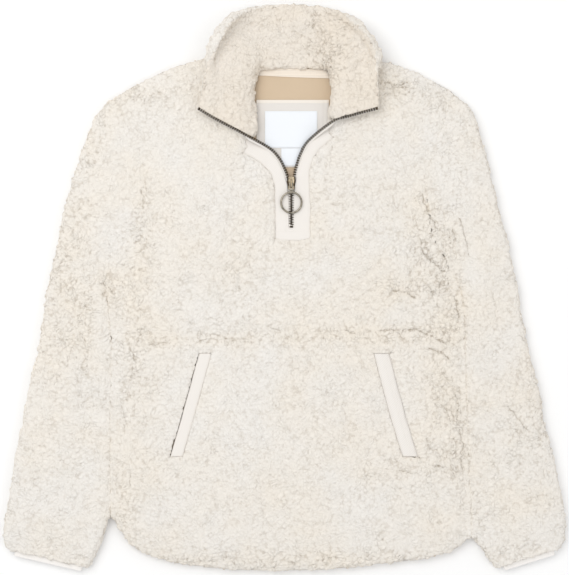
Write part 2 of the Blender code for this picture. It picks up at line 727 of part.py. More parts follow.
def make_lower_front(fleece, twill):
    """The lower front with its pocket slits, and a welt on each slit's inner side."""
    rows = []
    for index, row in enumerate(LOWER_ROWS):
        points, marks = lower_columns(row, index)
        rows.append(points)
    lowest = rows[-1]
    shares = (lowest[:, 0] - lowest[0, 0]) / (lowest[-1, 0] - lowest[0, 0])
    hem_x = HEM[0][0] + shares * (HEM[-1][0] - HEM[0][0])
    foot = np.stack([hem_x, hem_height(hem_x)], axis=1)
    for part in (0.35, 0.70, 0.90, 0.97, 1.0):
        rows.append(lowest + part * (foot - lowest))
    plan = np.array(rows)
    # A seam's gap above and below each welt.
    above = plan[POCKET_TOP_ROW] + (0.0, SEAM_GAP)
    below = plan[POCKET_FOOT_ROW] - (0.0, SEAM_GAP)
    plan = np.insert(plan, POCKET_FOOT_ROW + 1, below, axis=0)
    plan = np.insert(plan, POCKET_TOP_ROW, above, axis=0)
    first, last = POCKET_TOP_ROW, POCKET_FOOT_ROW + 2

    keep = np.ones((plan.shape[0] - 1, plan.shape[1] - 1), bool)
    keep[first:last, marks[0] : marks[1] + 1] = False
    keep[first:last, marks[2] : marks[3] + 1] = False

    sides = side_seam("arm_left"), side_seam("arm_right")
    outline = np.concatenate([plan[:, 0], plan[-1], plan[::-1, -1]])
    under = np.minimum(front_under(plan, sides[0]), front_under(plan, sides[1]))
    under = np.minimum(under, front_under(plan, foot))
    share = rounded(away_from(plan, outline))
    share = np.minimum(share, drawn_down(away_from(plan, plan[0])))
    slits = [(marks[0], marks[1] + 1), (marks[2], marks[3] + 1)]
    for start, end in slits:
        ring = [plan[first, start], plan[first, end], plan[last, end], plan[last, start], plan[first, start]]
        share = np.minimum(share, rounded(away_from(plan, ring), 0.004))
    over = under + FLEECE * share
    wall_between("front_lower", np.dstack([plan, over]), np.dstack([plan, under]), keep, fleece)

    welts = [("pocket_welt_left", marks[0] + 1, marks[1]), ("pocket_welt_right", marks[2] + 1, marks[3])]
    for name, start, end in welts:
        strip = plan[first + 1 : last, start : end + 1]
        base = under[first + 1 : last, start : end + 1]
        keep = np.ones((strip.shape[0] - 1, strip.shape[1] - 1), bool)
        wall_between(name, np.dstack([strip, base + WELT_WALL]), np.dstack([strip, base]), keep, twill)


def make_pocket_bags(finish):
    """A thin bag behind each slit, between the back and the front."""
    base = BACK_TOP + SEAM_GAP
    top = LOWER_ROWS[POCKET_TOP_ROW]
    foot = LOWER_ROWS[POCKET_FOOT_ROW]
    outside = 0.018
    depth = 0.105
    drop = 0.050
    slab(
        "pocket_bag_left",
        [
            (top.pocket_left - outside, top.y + outside),
            (foot.pocket_left - outside, foot.y - drop),
            (foot.pocket_left + depth, foot.y - drop),
            (top.pocket_left + depth, top.y + outside),
        ],
        base,
        BAG_WALL,
        finish,
    )
    slab(
        "pocket_bag_right",
        [
            (top.pocket_right - depth, top.y + outside),
            (foot.pocket_right - depth, foot.y - drop),
            (foot.pocket_right + outside, foot.y - drop),
            (top.pocket_right + outside, top.y + outside),
        ],
        base,
        BAG_WALL,
        finish,
    )


# ---------------------------------------------------------------- sleeves


def sleeve_sections(side):
    """Sections of a sleeve from its cap to its cuff, and how many are above the armpit."""
    outward = -1.0 if side == "arm_left" else 1.0
    caps = SLEEVE_CAP_LEFT if outward < 0.0 else SLEEVE_CAP_RIGHT
    lower = SLEEVE_ROWS_LEFT if outward < 0.0 else SLEEVE_ROWS_RIGHT
    arm = np.array(armhole(side)[:-1])
    # The sleeve's edge is the armhole, moved out by the seam's gap.
    inner = arm - outward * SEAM_GAP * 1.5 * line_normals(arm)
    sections = [Sleeve(tuple(a), b) for a, b in zip(inner, caps)]
    return list(reversed(sections)) + lower, len(sections)


SLEEVE_RIM = (0.0, 0.0025, EDGE_ROLL)


def sleeve_ring(section, closed, cuff, fold_wall):
    """Outer and inner points round one section, from the lower layer to the upper one."""
    inner_edge = np.array(section.inner)
    outer_edge = np.array(section.outer)
    width = np.linalg.norm(outer_edge - inner_edge)
    out = (outer_edge - inner_edge) / width
    rim = min(EDGE_ROLL, width * 0.3)
    small_rim = min(0.0025, width * 0.1)
    interior = list(np.linspace(rim, width - rim, 6))
    lower = [0.0, small_rim] + interior + [width - small_rim]
    spots = np.array(lower + [width] + lower[::-1])
    places = inner_edge + spots[:, None] * out
    count = len(lower)
    middle = (BACK_TOP + FRONT_UNDER + FULLNESS) / 2.0
    thickness = FRONT_TOP

    from_edge = np.minimum(spots, width - spots)
    share = np.clip(from_edge / EDGE_ROLL, 0.0, 1.0)
    curve = np.sqrt(1.0 - (1.0 - share) ** 2)
    # A closed fold rounds right over; at the armhole the seam only draws the pile down.
    soft = SEAM_DIP * FLEECE
    near_arm = spots < width / 2.0
    lift = np.where(near_arm & (not closed), soft * (1.0 - curve), middle * 0.72 * (1.0 - curve))
    cuff_lift = FLEECE * 0.28 * cuff
    lower_z = np.maximum(lift * 0.8, cuff_lift)
    upper_z = thickness - lift - cuff_lift + (1.0 - 0.6 * cuff) * fold_height(places) * curve
    z = np.where(np.arange(len(spots)) < count, lower_z, upper_z)
    z[count] = middle
    outer = np.column_stack([places, z])

    # The hollow of the sleeve stops a wall short of a folded edge, and runs out at the armhole.
    start = fold_wall
    fit = np.clip((spots / width), 0.0, 1.0)
    hollow = start + fit * (width - FLEECE - start)
    spots_in = inner_edge + hollow[:, None] * out
    opening = CUFF_OPENING * cuff
    floor_in = BACK_TOP - opening * 0.32
    roof_in = FRONT_UNDER + FULLNESS + np.maximum(fold_height(places), -FULLNESS) * (1.0 - cuff) * curve
    roof_in = roof_in - FULLNESS * cuff + opening * 0.30
    z_in = np.where(np.arange(len(spots)) < count, floor_in, roof_in)
    z_in[count] = middle
    inner = np.column_stack([spots_in, z_in])
    return outer, inner


def make_sleeve(side, name, fleece, twill):
    """A flattened sleeve tube, open at the armhole and the cuff, and its cuff band."""
    sections, above = sleeve_sections(side)
    outer = []
    inner = []
    for index, section in enumerate(sections):
        closed = index >= above
        from_cuff = len(sections) - 1 - index
        cuff = {0: 1.0, 1: 0.95, 2: 0.7}.get(from_cuff, 0.0)
        fold_wall = {above - 1: 0.0014, above: 0.0042}.get(index, FLEECE if closed else 0.0)
        ring_out, ring_in = sleeve_ring(section, closed, cuff, fold_wall)
        outer.append(ring_out)
        inner.append(ring_in)
    outer = np.array(outer)
    inner = np.array(inner)
    keep = np.ones((len(sections) - 1, outer.shape[1]), bool)
    keep[: above - 1, -1] = False
    wall_between(name, outer, inner, keep, fleece, wrap=True)

    last = sections[-1]
    inner_edge = np.array(last.inner)
    outer_edge = np.array(last.outer)
    width = np.linalg.norm(outer_edge - inner_edge)
    along = (outer_edge - inner_edge) / width
    down = np.array((along[1], -along[0]))
    if down[1] > 0.0:
        down = -down
    start = FLEECE + 0.0028
    end = width - FLEECE - 0.0028
    middle = (BACK_TOP + FRONT_UNDER) / 2.0
    half = 0.0019
    wall = 0.0013
    shape = [
        (start, 0.0),
        (start + 0.002, -1.0),
        ((start + end) / 2.0, -1.0),
        (end - 0.002, -1.0),
        (end, 0.0),
        (end - 0.002, 1.0),
        ((start + end) / 2.0, 1.0),
        (start + 0.002, 1.0),
    ]
    outer = []
    inner = []
    for shift in (-CUFF_BAND_TUCK, 0.0, CUFF_BAND_SHOWS):
        ring_out = []
        ring_in = []
        for spot, level in shape:
            place = inner_edge + spot * along + shift * down
            pulled = inner_edge + np.clip(spot, start + wall, end - wall) * along + shift * down
            ring_out.append((*place, middle + level * half))
            ring_in.append((*pulled, middle + level * (half - wall)))
        outer.append(ring_out)
        inner.append(ring_in)
    keep = np.ones((2, len(shape)), bool)
    band = name.replace("sleeve", "cuff_band")
    wall_between(band, np.array(outer), np.array(inner), keep, twill, wrap=True)


# ---------------------------------------------------------------- collar


def smooth_through(points, steps):
    """Points of a Catmull-Rom curve through the given ones, evenly stepped."""
    points = np.array(points, float)
    padded = np.concatenate([[2 * points[0] - points[1]], points, [2 * points[-1] - points[-2]]])
    places = np.linspace(0.0, len(points) - 1, steps)
    curve = []
    for place in places:
        index = min(int(place), len(points) - 2)
        t = place - index
        a, b, c, d = padded[index : index + 4]
        curve.append(
            0.5 * (2 * b + (c - a) * t + (2 * a - 5 * b + 4 * c - d) * t**2 + (3 * b - a - 3 * c + d) * t**3)
        )
    return np.array(curve)


def even_steps(curve, steps):
    """The same curve with its points spread evenly along it."""
    reach = np.concatenate([[0.0], np.cumsum(np.linalg.norm(np.diff(curve, axis=0), axis=1))])
    places = np.linspace(0.0, reach[-1], steps)
    return np.stack([np.interp(places, reach, curve[:, axis]) for axis in range(3)], axis=1)


def face_normals(grid):
    """Unit normals of a grid of points, pointing up where the grid lies flat."""
    down_rows = np.gradient(grid, axis=0)
    along_columns = np.gradient(grid, axis=1)
    normal = np.cross(down_rows, along_columns)
    normal /= np.linalg.norm(normal, axis=2)[..., None]
    return normal * (1.0 if normal[..., 2].mean() > 0.0 else -1.0)


def collar_face():
    """The face between the collar's layers, as rows up it and columns round it."""
    columns = []
    for row in COLLAR_ROWS:
        seam = np.array((*row.seam, row.seam_height))
        bulge = np.array((*row.bulge, row.bulge_height))
        top = np.array((*row.top, row.top_height))
        lining = np.array(row.lining)
        run = np.array(row.seam) - lining
        room = np.linalg.norm(run)
        set_back = lining + run / room * min(FLEECE * 0.9, room * 0.45)
        foot = np.array((*set_back, min(LINING_FOOT_HEIGHT, row.seam_height + 0.0012)))
        curve = smooth_through([foot, seam, bulge, top], 61)
        below = even_steps(curve[:21], FOOT_STEPS + 1)
        above = even_steps(curve[20:], STAND_STEPS + 1)
        columns.append(np.concatenate([below[:-1], above]))
    columns = np.array(columns)
    # Twice as many columns round the collar, on smooth curves through the sections.
    levels = range(columns.shape[1])
    return np.array([smooth_through(columns[:, level], 2 * len(COLLAR_ROWS) - 1) for level in levels])


def collar_layer(name, face, normal, side, finish):
    """One layer of fleece on one side of the collar's face."""
    near = face + side * normal * SEAM_GAP
    reach = np.linalg.norm(np.diff(face, axis=0), axis=2).mean(axis=1)
    height = np.concatenate([[0.0], np.cumsum(reach)])
    from_edge = np.minimum(height, height[-1] - height)[:, None]
    around = np.linalg.norm(np.diff(face, axis=1), axis=2).mean(axis=0)
    ends = np.concatenate([[0.0], np.cumsum(around)])
    from_end = np.minimum(ends, ends[-1] - ends)[None, :]
    share = np.minimum(rounded(from_edge, 0.009), rounded(from_end, 0.009))
    far = face + side * normal * (SEAM_GAP + FLEECE * share[..., None])
    # In the bend above the neck seam the lining's pile crowds together and evens out.
    for _ in range(EVENING_PASSES if side > 0.0 else 0):
        evened = 0.5 * far[1:-1] + 0.25 * (far[:-2] + far[2:])
        far[FOOT_STEPS + 2 : -1] = evened[FOOT_STEPS + 1 :]
    far[..., 2] = np.maximum(far[..., 2], 0.0)
    keep = np.ones((face.shape[0] - 1, face.shape[1] - 1), bool)
    wall_between(name, far, near, keep, finish)


def make_collar(finish):
    """The stand collar's outer layer and its lining, both of fleece."""
    face = collar_face()
    normal = face_normals(face)
    collar_layer("collar_outer", face[FOOT_STEPS:], normal[FOOT_STEPS:], -1.0, finish)
    collar_layer("collar_lining", face, normal, 1.0, finish)


# ---------------------------------------------------------------- inside the neck


def rectangle(low, high):
    """Corners of an upright rectangle in plan."""
    return [(low[0], low[1]), (high[0], low[1]), (high[0], high[1]), (low[0], high[1])]


def make_neck_pieces(twill, white):
    """Neck tape, the patch inside the back, its label and the size tab."""
    base = BACK_TOP + SEAM_GAP
    tape = []
    for share in np.linspace(0.0, 1.0, 9):
        tape.append((TAPE_LEFT + share * (TAPE_RIGHT - TAPE_LEFT), TAPE_Y - TAPE_SAG * math.sin(math.pi * share)))
    tape += [(x, y + TAPE_WIDTH) for x, y in reversed(tape)]
    slab("neck_tape", tape, base, TAPE_WALL, twill)
    slab("label_patch", rectangle((-0.038, 0.158), (0.055, 0.2445)), base, TAPE_WALL, twill)
    on_patch = base + TAPE_WALL + SEAM_GAP
    slab("label", rectangle((-0.027, 0.183), (0.040, 0.230)), on_patch, 0.0005, white)
    slab("size_tab", rectangle((-0.006, 0.160), (0.020, 0.1824)), on_patch, 0.0004, white)


# ---------------------------------------------------------------- zip


def ribbon(name, path, widths, thickness, finish):
    """A strip along a path, lying level across."""
    path = np.array(path)
    normal = line_normals(path[:, :2])
    made = bmesh.new()
    rings = []
    for point, side, width in zip(path, normal, widths):
        across_strip = Vector((*side, 0.0)) * (width / 2.0)
        up = Vector((0.0, 0.0, thickness / 2.0))
        centre = Vector(point)
        corners = [centre + across_strip + up, centre - across_strip + up]
        corners += [centre - across_strip - up, centre + across_strip - up]
        rings.append([made.verts.new(corner) for corner in corners])
    for ring, following in zip(rings[:-1], rings[1:]):
        for index in range(4):
            after = (index + 1) % 4
            made.faces.new([ring[index], ring[after], following[after], following[index]])
    made.faces.new(rings[0])
    made.faces.new(list(reversed(rings[-1])))
    return link_mesh(name, made, finish, smooth=False)


def make_zip(finish):
    """Both open half chains and the closed stretch below the slider."""
    open_rows = YOKE_ROWS[CLOSED_ROWS[-1] + 1 :]
    rises = [CHAIN_HEIGHT, CHAIN_HEIGHT, 0.0125]
    for side, mouth, collar in (("left", SLIDER_MOUTH_LEFT, COLLAR_ZIP_LEFT), ("right", SLIDER_MOUTH_RIGHT, COLLAR_ZIP_RIGHT)):
        points = [(*point, CHAIN_HEIGHT) for point in mouth]
        points += [(*getattr(row, "zip_" + side), rise) for row, rise in zip(open_rows[:-1], rises)]
        path = smooth_through(points + collar, 18)
        widths = [HALF_CHAIN_WIDTH] * len(path)
        ribbon("zip_teeth_" + side, path, widths, CHAIN_THICKNESS, finish)
    low = YOKE_ROWS[CHAIN_END_ROW]
    foot_y = low.zip_left[1] + 0.0008
    stop = 0.0035
    path = [(PULL_X, foot_y, CHAIN_HEIGHT), (PULL_X, foot_y + stop, CHAIN_HEIGHT)]
    path += [(PULL_X, y, CHAIN_HEIGHT) for y in (0.100, 0.120, 0.1400)]
    widths = [CLOSED_CHAIN_WIDTH] * len(path)
    ribbon("zip_teeth_closed", path, widths, CHAIN_THICKNESS, finish)


SLIDER_LENGTH = 0.0168
SLIDER_HEAD = 0.0122  # width at the end towards the collar
SLIDER_TAIL = 0.0092
SLIDER_PLATE = 0.0016
SLIDER_BASE = FRONT_UNDER + FULLNESS + PLACKET_WALL + SEAM_GAP
BRIDGE_LENGTH = 0.0120
BRIDGE_WIDTH = 0.0017
BRIDGE_WALL = 0.0011
LINK_BAR = 0.0012
LINK_WIDTH = 0.0050
LINK_WINDOW = 0.0066
EYE_RADIUS = 0.0024
EYE_WIDTH = 0.0040
EYE_CLEARANCE = 0.0004


def box(made, low, high):
    """Adds a box to a bmesh and gives its vertices."""
    size = Vector(high) - Vector(low)
    centre = (Vector(high) + Vector(low)) / 2.0
    cube = bmesh.ops.create_cube(made, size=1.0)["verts"]
    bmesh.ops.scale(made, verts=cube, vec=size)
    bmesh.ops.translate(made, verts=cube, vec=centre)
    return cube


def make_slider(finish):
    """The slider's top plate with its bridge, drawn as one outline seen from the side."""
    made = bmesh.new()
    top = SLIDER_BASE + SLIDER_PLATE
    tail_y = LINK_HINGE_Y - SLIDER_LENGTH / 2.0
    outline = []
    steps = 8
    for index in range(steps + 1):
        angle = math.pi * index / steps
        x = PULL_X + SLIDER_HEAD / 2.0 * math.cos(angle)
        y = tail_y + SLIDER_LENGTH - 0.004 + 0.004 * math.sin(angle)
        outline.append((x, y))
    for index in range(steps + 1):
        angle = math.pi + math.pi * index / steps
        x = PULL_X + SLIDER_TAIL / 2.0 * math.cos(angle)
        y = tail_y + 0.0025 + 0.0025 * math.sin(angle)
        outline.append((x, y))
    lower = made.faces.new([made.verts.new((x, y, SLIDER_BASE)) for x, y in outline])
    raised = bmesh.ops.extrude_face_region(made, geom=[lower])["geom"]
    upper = [item for item in raised if isinstance(item, bmesh.types.BMVert)]
    bmesh.ops.translate(made, verts=upper, vec=(0.0, 0.0, SLIDER_PLATE))
    plate = link_mesh("slider", made, finish)

    bridge = bmesh.new()
    outside = []
    inside = []
    arch_steps = 10
    rise = PULL_HEIGHT + LINK_BAR / 2.0 + 0.0005 - top
    sunk = 0.0006
    for index in range(arch_steps + 1):
        angle = math.pi * index / arch_steps
        outside.append((BRIDGE_LENGTH / 2.0 * math.cos(angle), (rise + BRIDGE_WALL) * math.sin(angle)))
        inside.append(((BRIDGE_LENGTH / 2.0 - BRIDGE_WALL) * math.cos(angle), rise * math.sin(angle)))
    profile = [(outside[0][0], -sunk)] + outside + [(outside[-1][0], -sunk)]
    profile += [(inside[-1][0], -sunk)] + inside[::-1] + [(inside[0][0], -sunk)]
    face = bridge.faces.new(
        [bridge.verts.new((PULL_X - BRIDGE_WIDTH / 2.0, LINK_HINGE_Y + y, top + z)) for y, z in profile]
    )
    pushed = bmesh.ops.extrude_face_region(bridge, geom=[face])["geom"]
    moved = [item for item in pushed if isinstance(item, bmesh.types.BMVert)]
    bmesh.ops.translate(bridge, verts=moved, vec=(BRIDGE_WIDTH, 0.0, 0.0))
    arch = link_mesh("bridge_tool", bridge, finish)
    join(plate, arch)


def join(target, tool, operation="UNION"):
    """Joins or cuts target with tool, which stays as a hidden guide."""
    modifier = target.modifiers.new(operation.lower(), "BOOLEAN")
    modifier.operation = operation
    modifier.solver = "EXACT"
    modifier.object = tool
    tool.hide_render = True
    tool.display_type = "WIRE"
    return modifier


def make_link(finish, hinge):
    """The link: a bar under the bridge, two side bars, a tongue and the ring's eye."""
    made = bmesh.new()
    half = LINK_WIDTH / 2.0
    bar = LINK_BAR / 2.0
    hole_half = half - LINK_BAR
    length = LINK_HINGE_Y - RING_HINGE_Y
    frame = [(-half, bar), (half, bar), (half, -length), (-half, -length)]
    window = [(-hole_half, -bar), (hole_half, -bar), (hole_half, -LINK_WINDOW), (-hole_half, -LINK_WINDOW)]
    levels = []
    for z in (-bar, bar):
        levels.append(
            (
                [made.verts.new((x, y, z)) for x, y in frame],
                [made.verts.new((x, y, z)) for x, y in window],
            )
        )
    for index in range(4):
        after = (index + 1) % 4
        for outer, inner in levels:
            made.faces.new([outer[index], outer[after], inner[after], inner[index]])
        for side in (0, 1):
            low = levels[0][side]
            high = levels[1][side]
            made.faces.new([low[index], low[after], high[after], high[index]])
    link = link_mesh("pull_link", made, finish, smooth=False)
    link.parent = hinge

    eye = tube_along_x("eye_tool", EYE_RADIUS, EYE_WIDTH, finish)
    eye.location = (0.0, RING_HINGE_Y - LINK_HINGE_Y, 0.0)
    eye.parent = hinge
    join(link, eye)
    # The bore is barrel-shaped, as wide at its mouths as the ring's curve needs.
    bore = tube_along_x("eye_bore_tool", RING_WIRE + EYE_CLEARANCE, EYE_WIDTH * 2.0, finish)
    bore.location = (0.0, RING_HINGE_Y - LINK_HINGE_Y, 0.0)
    bore.parent = hinge
    join(link, bore, "DIFFERENCE")
    return link


def tube_along_x(name, radius, width, finish, steps=16):
    """A plain round bar along X, centred on its own origin."""
    made = bmesh.new()
    ends = []
    for x in (-width / 2.0, width / 2.0):
        ring = []
        for index in range(steps):
            angle = 2.0 * math.pi * index / steps
            ring.append(made.verts.new((x, radius * math.cos(angle), radius * math.sin(angle))))
        ends.append(ring)
    for index in range(steps):
        after = (index + 1) % steps
        made.faces.new([ends[0][index], ends[0][after], ends[1][after], ends[1][index]])
    made.faces.new(ends[0])
    made.faces.new(list(reversed(ends[1])))
    return link_mesh(name, made, finish, smooth=False)


def make_ring(finish, hinge):
    """The pull's ring, hung from its hinge line and lying towards the hem."""
    made = bmesh.new()
    around = 40
    wire = 8
    rings = []
    for index in range(around):
        angle = 2.0 * math.pi * index / around
        ring = []
        for step in range(wire):
            turn = 2.0 * math.pi * step / wire
            reach = RING_RADIUS + RING_WIRE * math.cos(turn)
            x = reach * math.sin(angle)
            level = reach * math.cos(angle) - RING_RADIUS
            rise = RING_WIRE * math.sin(turn)
            y = level * math.cos(RING_DROOP) - rise * math.sin(RING_DROOP)
            z = level * math.sin(RING_DROOP) + rise * math.cos(RING_DROOP)
            ring.append(made.verts.new((x, y, z)))
        rings.append(ring)
    for index in range(around):
        following = rings[(index + 1) % around]
        for step in range(wire):
            after = (step + 1) % wire
            made.faces.new([rings[index][step], rings[index][after], following[after], following[step]])
    ring = link_mesh("pull_ring", made, finish)
    ring.parent = hinge
    return ring


def make_hinge(name, y):
    """An empty on a hinge line of the pull."""
    hinge = bpy.data.objects.new(name, None)
    hinge.location = (PULL_X, y, PULL_HEIGHT)
    hinge.empty_display_size = 0.004
    bpy.context.scene.collection.objects.link(hinge)
    return hinge


def make_pull(finish):
    """The link and the ring, each on its own hinge line."""
    link_hinge = make_hinge("link_hinge", LINK_HINGE_Y)
    make_link(finish, link_hinge)
    ring_hinge = make_hinge("ring_hinge", RING_HINGE_Y)
    make_ring(finish, ring_hinge)


# ---------------------------------------------------------------- the garment


def clear_scene():
    """Removes whatever the scene holds."""
    for obj in list(bpy.data.objects):
        bpy.data.objects.remove(obj, do_unlink=True)


def main():
    clear_scene()
    fleece = material("cream_sherpa", CREAM_FLEECE, 0.95)
    twill = material("cream_twill", CREAM_TWILL, 0.85)
    white = material("white_woven", WHITE_WOVEN, 0.7)
    tan = material("tan_knit", TAN_KNIT, 0.9)
    brass = material("dark_brass", DARK_BRASS, 0.4, 1.0)
    make_back(fleece)
    make_yoke(fleece, twill)
    make_lower_front(fleece, twill)
    make_pocket_bags(tan)
    make_sleeve("arm_left", "sleeve_left", fleece, twill)
    make_sleeve("arm_right", "sleeve_right", fleece, twill)
    make_collar(fleece)
    make_neck_pieces(twill, white)
    make_zip(brass)
    make_slider(brass)
    make_pull(brass)
    for obj in bpy.data.objects:
        if obj.parent is None:
            obj.location.x -= PLAN_MIDDLE[0]
            obj.location.y -= PLAN_MIDDLE[1]


main()
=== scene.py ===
"""A sherpa half-zip pullover laid flat: its pile, trims, stitching and zip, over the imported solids."""

import math
from typing import NamedTuple

import bmesh
import bpy
import numpy as np
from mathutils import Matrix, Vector
from mathutils.bvhtree import BVHTree
from mathutils.kdtree import KDTree


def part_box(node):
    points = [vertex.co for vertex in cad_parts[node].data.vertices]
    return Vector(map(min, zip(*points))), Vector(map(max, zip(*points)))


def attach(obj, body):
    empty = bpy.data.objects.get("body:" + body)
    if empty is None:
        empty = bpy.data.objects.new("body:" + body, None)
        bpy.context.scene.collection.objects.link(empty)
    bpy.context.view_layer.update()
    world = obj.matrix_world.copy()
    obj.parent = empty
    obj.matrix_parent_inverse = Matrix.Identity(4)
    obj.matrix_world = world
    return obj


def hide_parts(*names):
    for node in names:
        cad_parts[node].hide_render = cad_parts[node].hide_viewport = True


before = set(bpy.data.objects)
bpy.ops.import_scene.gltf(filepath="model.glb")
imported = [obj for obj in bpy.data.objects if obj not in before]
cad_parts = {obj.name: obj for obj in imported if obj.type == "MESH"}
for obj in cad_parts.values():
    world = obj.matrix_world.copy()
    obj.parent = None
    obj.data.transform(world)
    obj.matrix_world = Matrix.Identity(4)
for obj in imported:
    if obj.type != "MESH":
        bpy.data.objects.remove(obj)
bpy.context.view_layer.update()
bpy.ops.object.select_all(action="DESELECT")

MM = 0.001
PILE_STEP = 0.0028  # first, even step of a fleece surface; its shown side is halved again
BACK_STEP = 0.0040  # the same for the back, which lies underneath
CLUMP = 0.0056  # one curl of the pile
BASE_ROUGH = 0.27  # how broken the pile is where no patch changes it, from 0 to 1

# How much of the root colour, the knit's own colour with painted shade over it, shows in a parting of the
# pile, in a long crack and in a pit.
ROOT_KNIT_AND_SHADE = 0.36
CRACK_KNIT_AND_SHADE = 0.53
PIT_KNIT_AND_SHADE = 0.42


# ---------------------------------------------------------------- shader building


class Finish:
    """One material under construction: adds shader nodes and joins them."""

    def __init__(self, name):
        self.material = bpy.data.materials.new(name)
        self.material.use_nodes = True
        self.tree = self.material.node_tree
        self.tree.nodes.clear()
        self.output = self.tree.nodes.new("ShaderNodeOutputMaterial")
        self.surface = self.tree.nodes.new("ShaderNodeBsdfPrincipled")
        self.tree.links.new(self.surface.outputs[0], self.output.inputs["Surface"])

    def add(self, kind, values=None, **settings):
        node = self.tree.nodes.new("ShaderNode" + kind)
        for name, value in settings.items():
            setattr(node, name, value)
        for socket, value in (values or {}).items():
            self.put(node, socket, value)
        return node

    def put(self, node, socket, value):
        """Sets a socket to a number or colour, or joins it to another node's output."""
        if isinstance(value, bpy.types.NodeSocket):
            self.tree.links.new(value, node.inputs[socket])
        elif isinstance(value, bpy.types.Node):
            self.tree.links.new(value.outputs[0], node.inputs[socket])
        else:
            node.inputs[socket].default_value = value

    def shade(self, **values):
        for socket, value in values.items():
            self.put(self.surface, socket.replace("_", " "), value)

    def place(self):
        """Object coordinates, in metres."""
        return self.add("TexCoord").outputs["Object"]

    def stored(self, name, output="Fac"):
        """A value that the piece holds at each of its points."""
        return self.add("Attribute", attribute_name=name).outputs[output]

    def cells(self, where, scale, feature):
        values = {"Vector": where, "Scale": scale}
        return self.add("TexVoronoi", values, feature=feature).outputs["Distance"]

    def waves(self, where, scale, warp, bands="X", **values):
        values = {"Vector": where, "Scale": scale, "Distortion": warp, **values}
        return self.add("TexWave", values, bands_direction=bands).outputs["Fac"]

    def noise(self, where, scale, detail=2.0, roughness=0.5, warp=0.0):
        sockets = ("Vector", "Scale", "Detail", "Roughness", "Distortion")
        values = dict(zip(sockets, (where, scale, detail, roughness, warp)))
        return self.add("TexNoise", values).outputs["Fac"]

    def blend(self, share, low, high):
        """A colour between two others."""
        node = self.add("Mix", data_type="RGBA")
        for socket, value in ((0, share), (6, low), (7, high)):
            self.put(node, socket, value if not isinstance(value, tuple) else (*value, 1.0))
        return node.outputs[2]

    def reckon(self, kind, first, second=0.0, clamp=False):
        return self.add("Math", {0: first, 1: second}, operation=kind, use_clamp=clamp).outputs[0]

    def plus(self, first, second):
        return self.reckon("ADD", first, second)

    def times(self, first, second):
        return self.reckon("MULTIPLY", first, second)

    def stretch(self, value, low, high, to_low=0.0, to_high=1.0):
        node = self.add("MapRange", clamp=True)
        for socket, number in enumerate((value, low, high, to_low, to_high)):
            self.put(node, socket, number)
        return node.outputs[0]

    def bump(self, height, strength, depth, under=None):
        node = self.add("Bump", {"Height": height, "Strength": strength, "Distance": depth})
        if under is not None:
            self.put(node, "Normal", under)
        return node.outputs[0]


def toned(colour, *shares):
    """A colour multiplied by one share, or each of its channels by its own."""
    if len(shares) == 1:
        shares *= 3
    return tuple(channel * share for channel, share in zip(colour, shares))


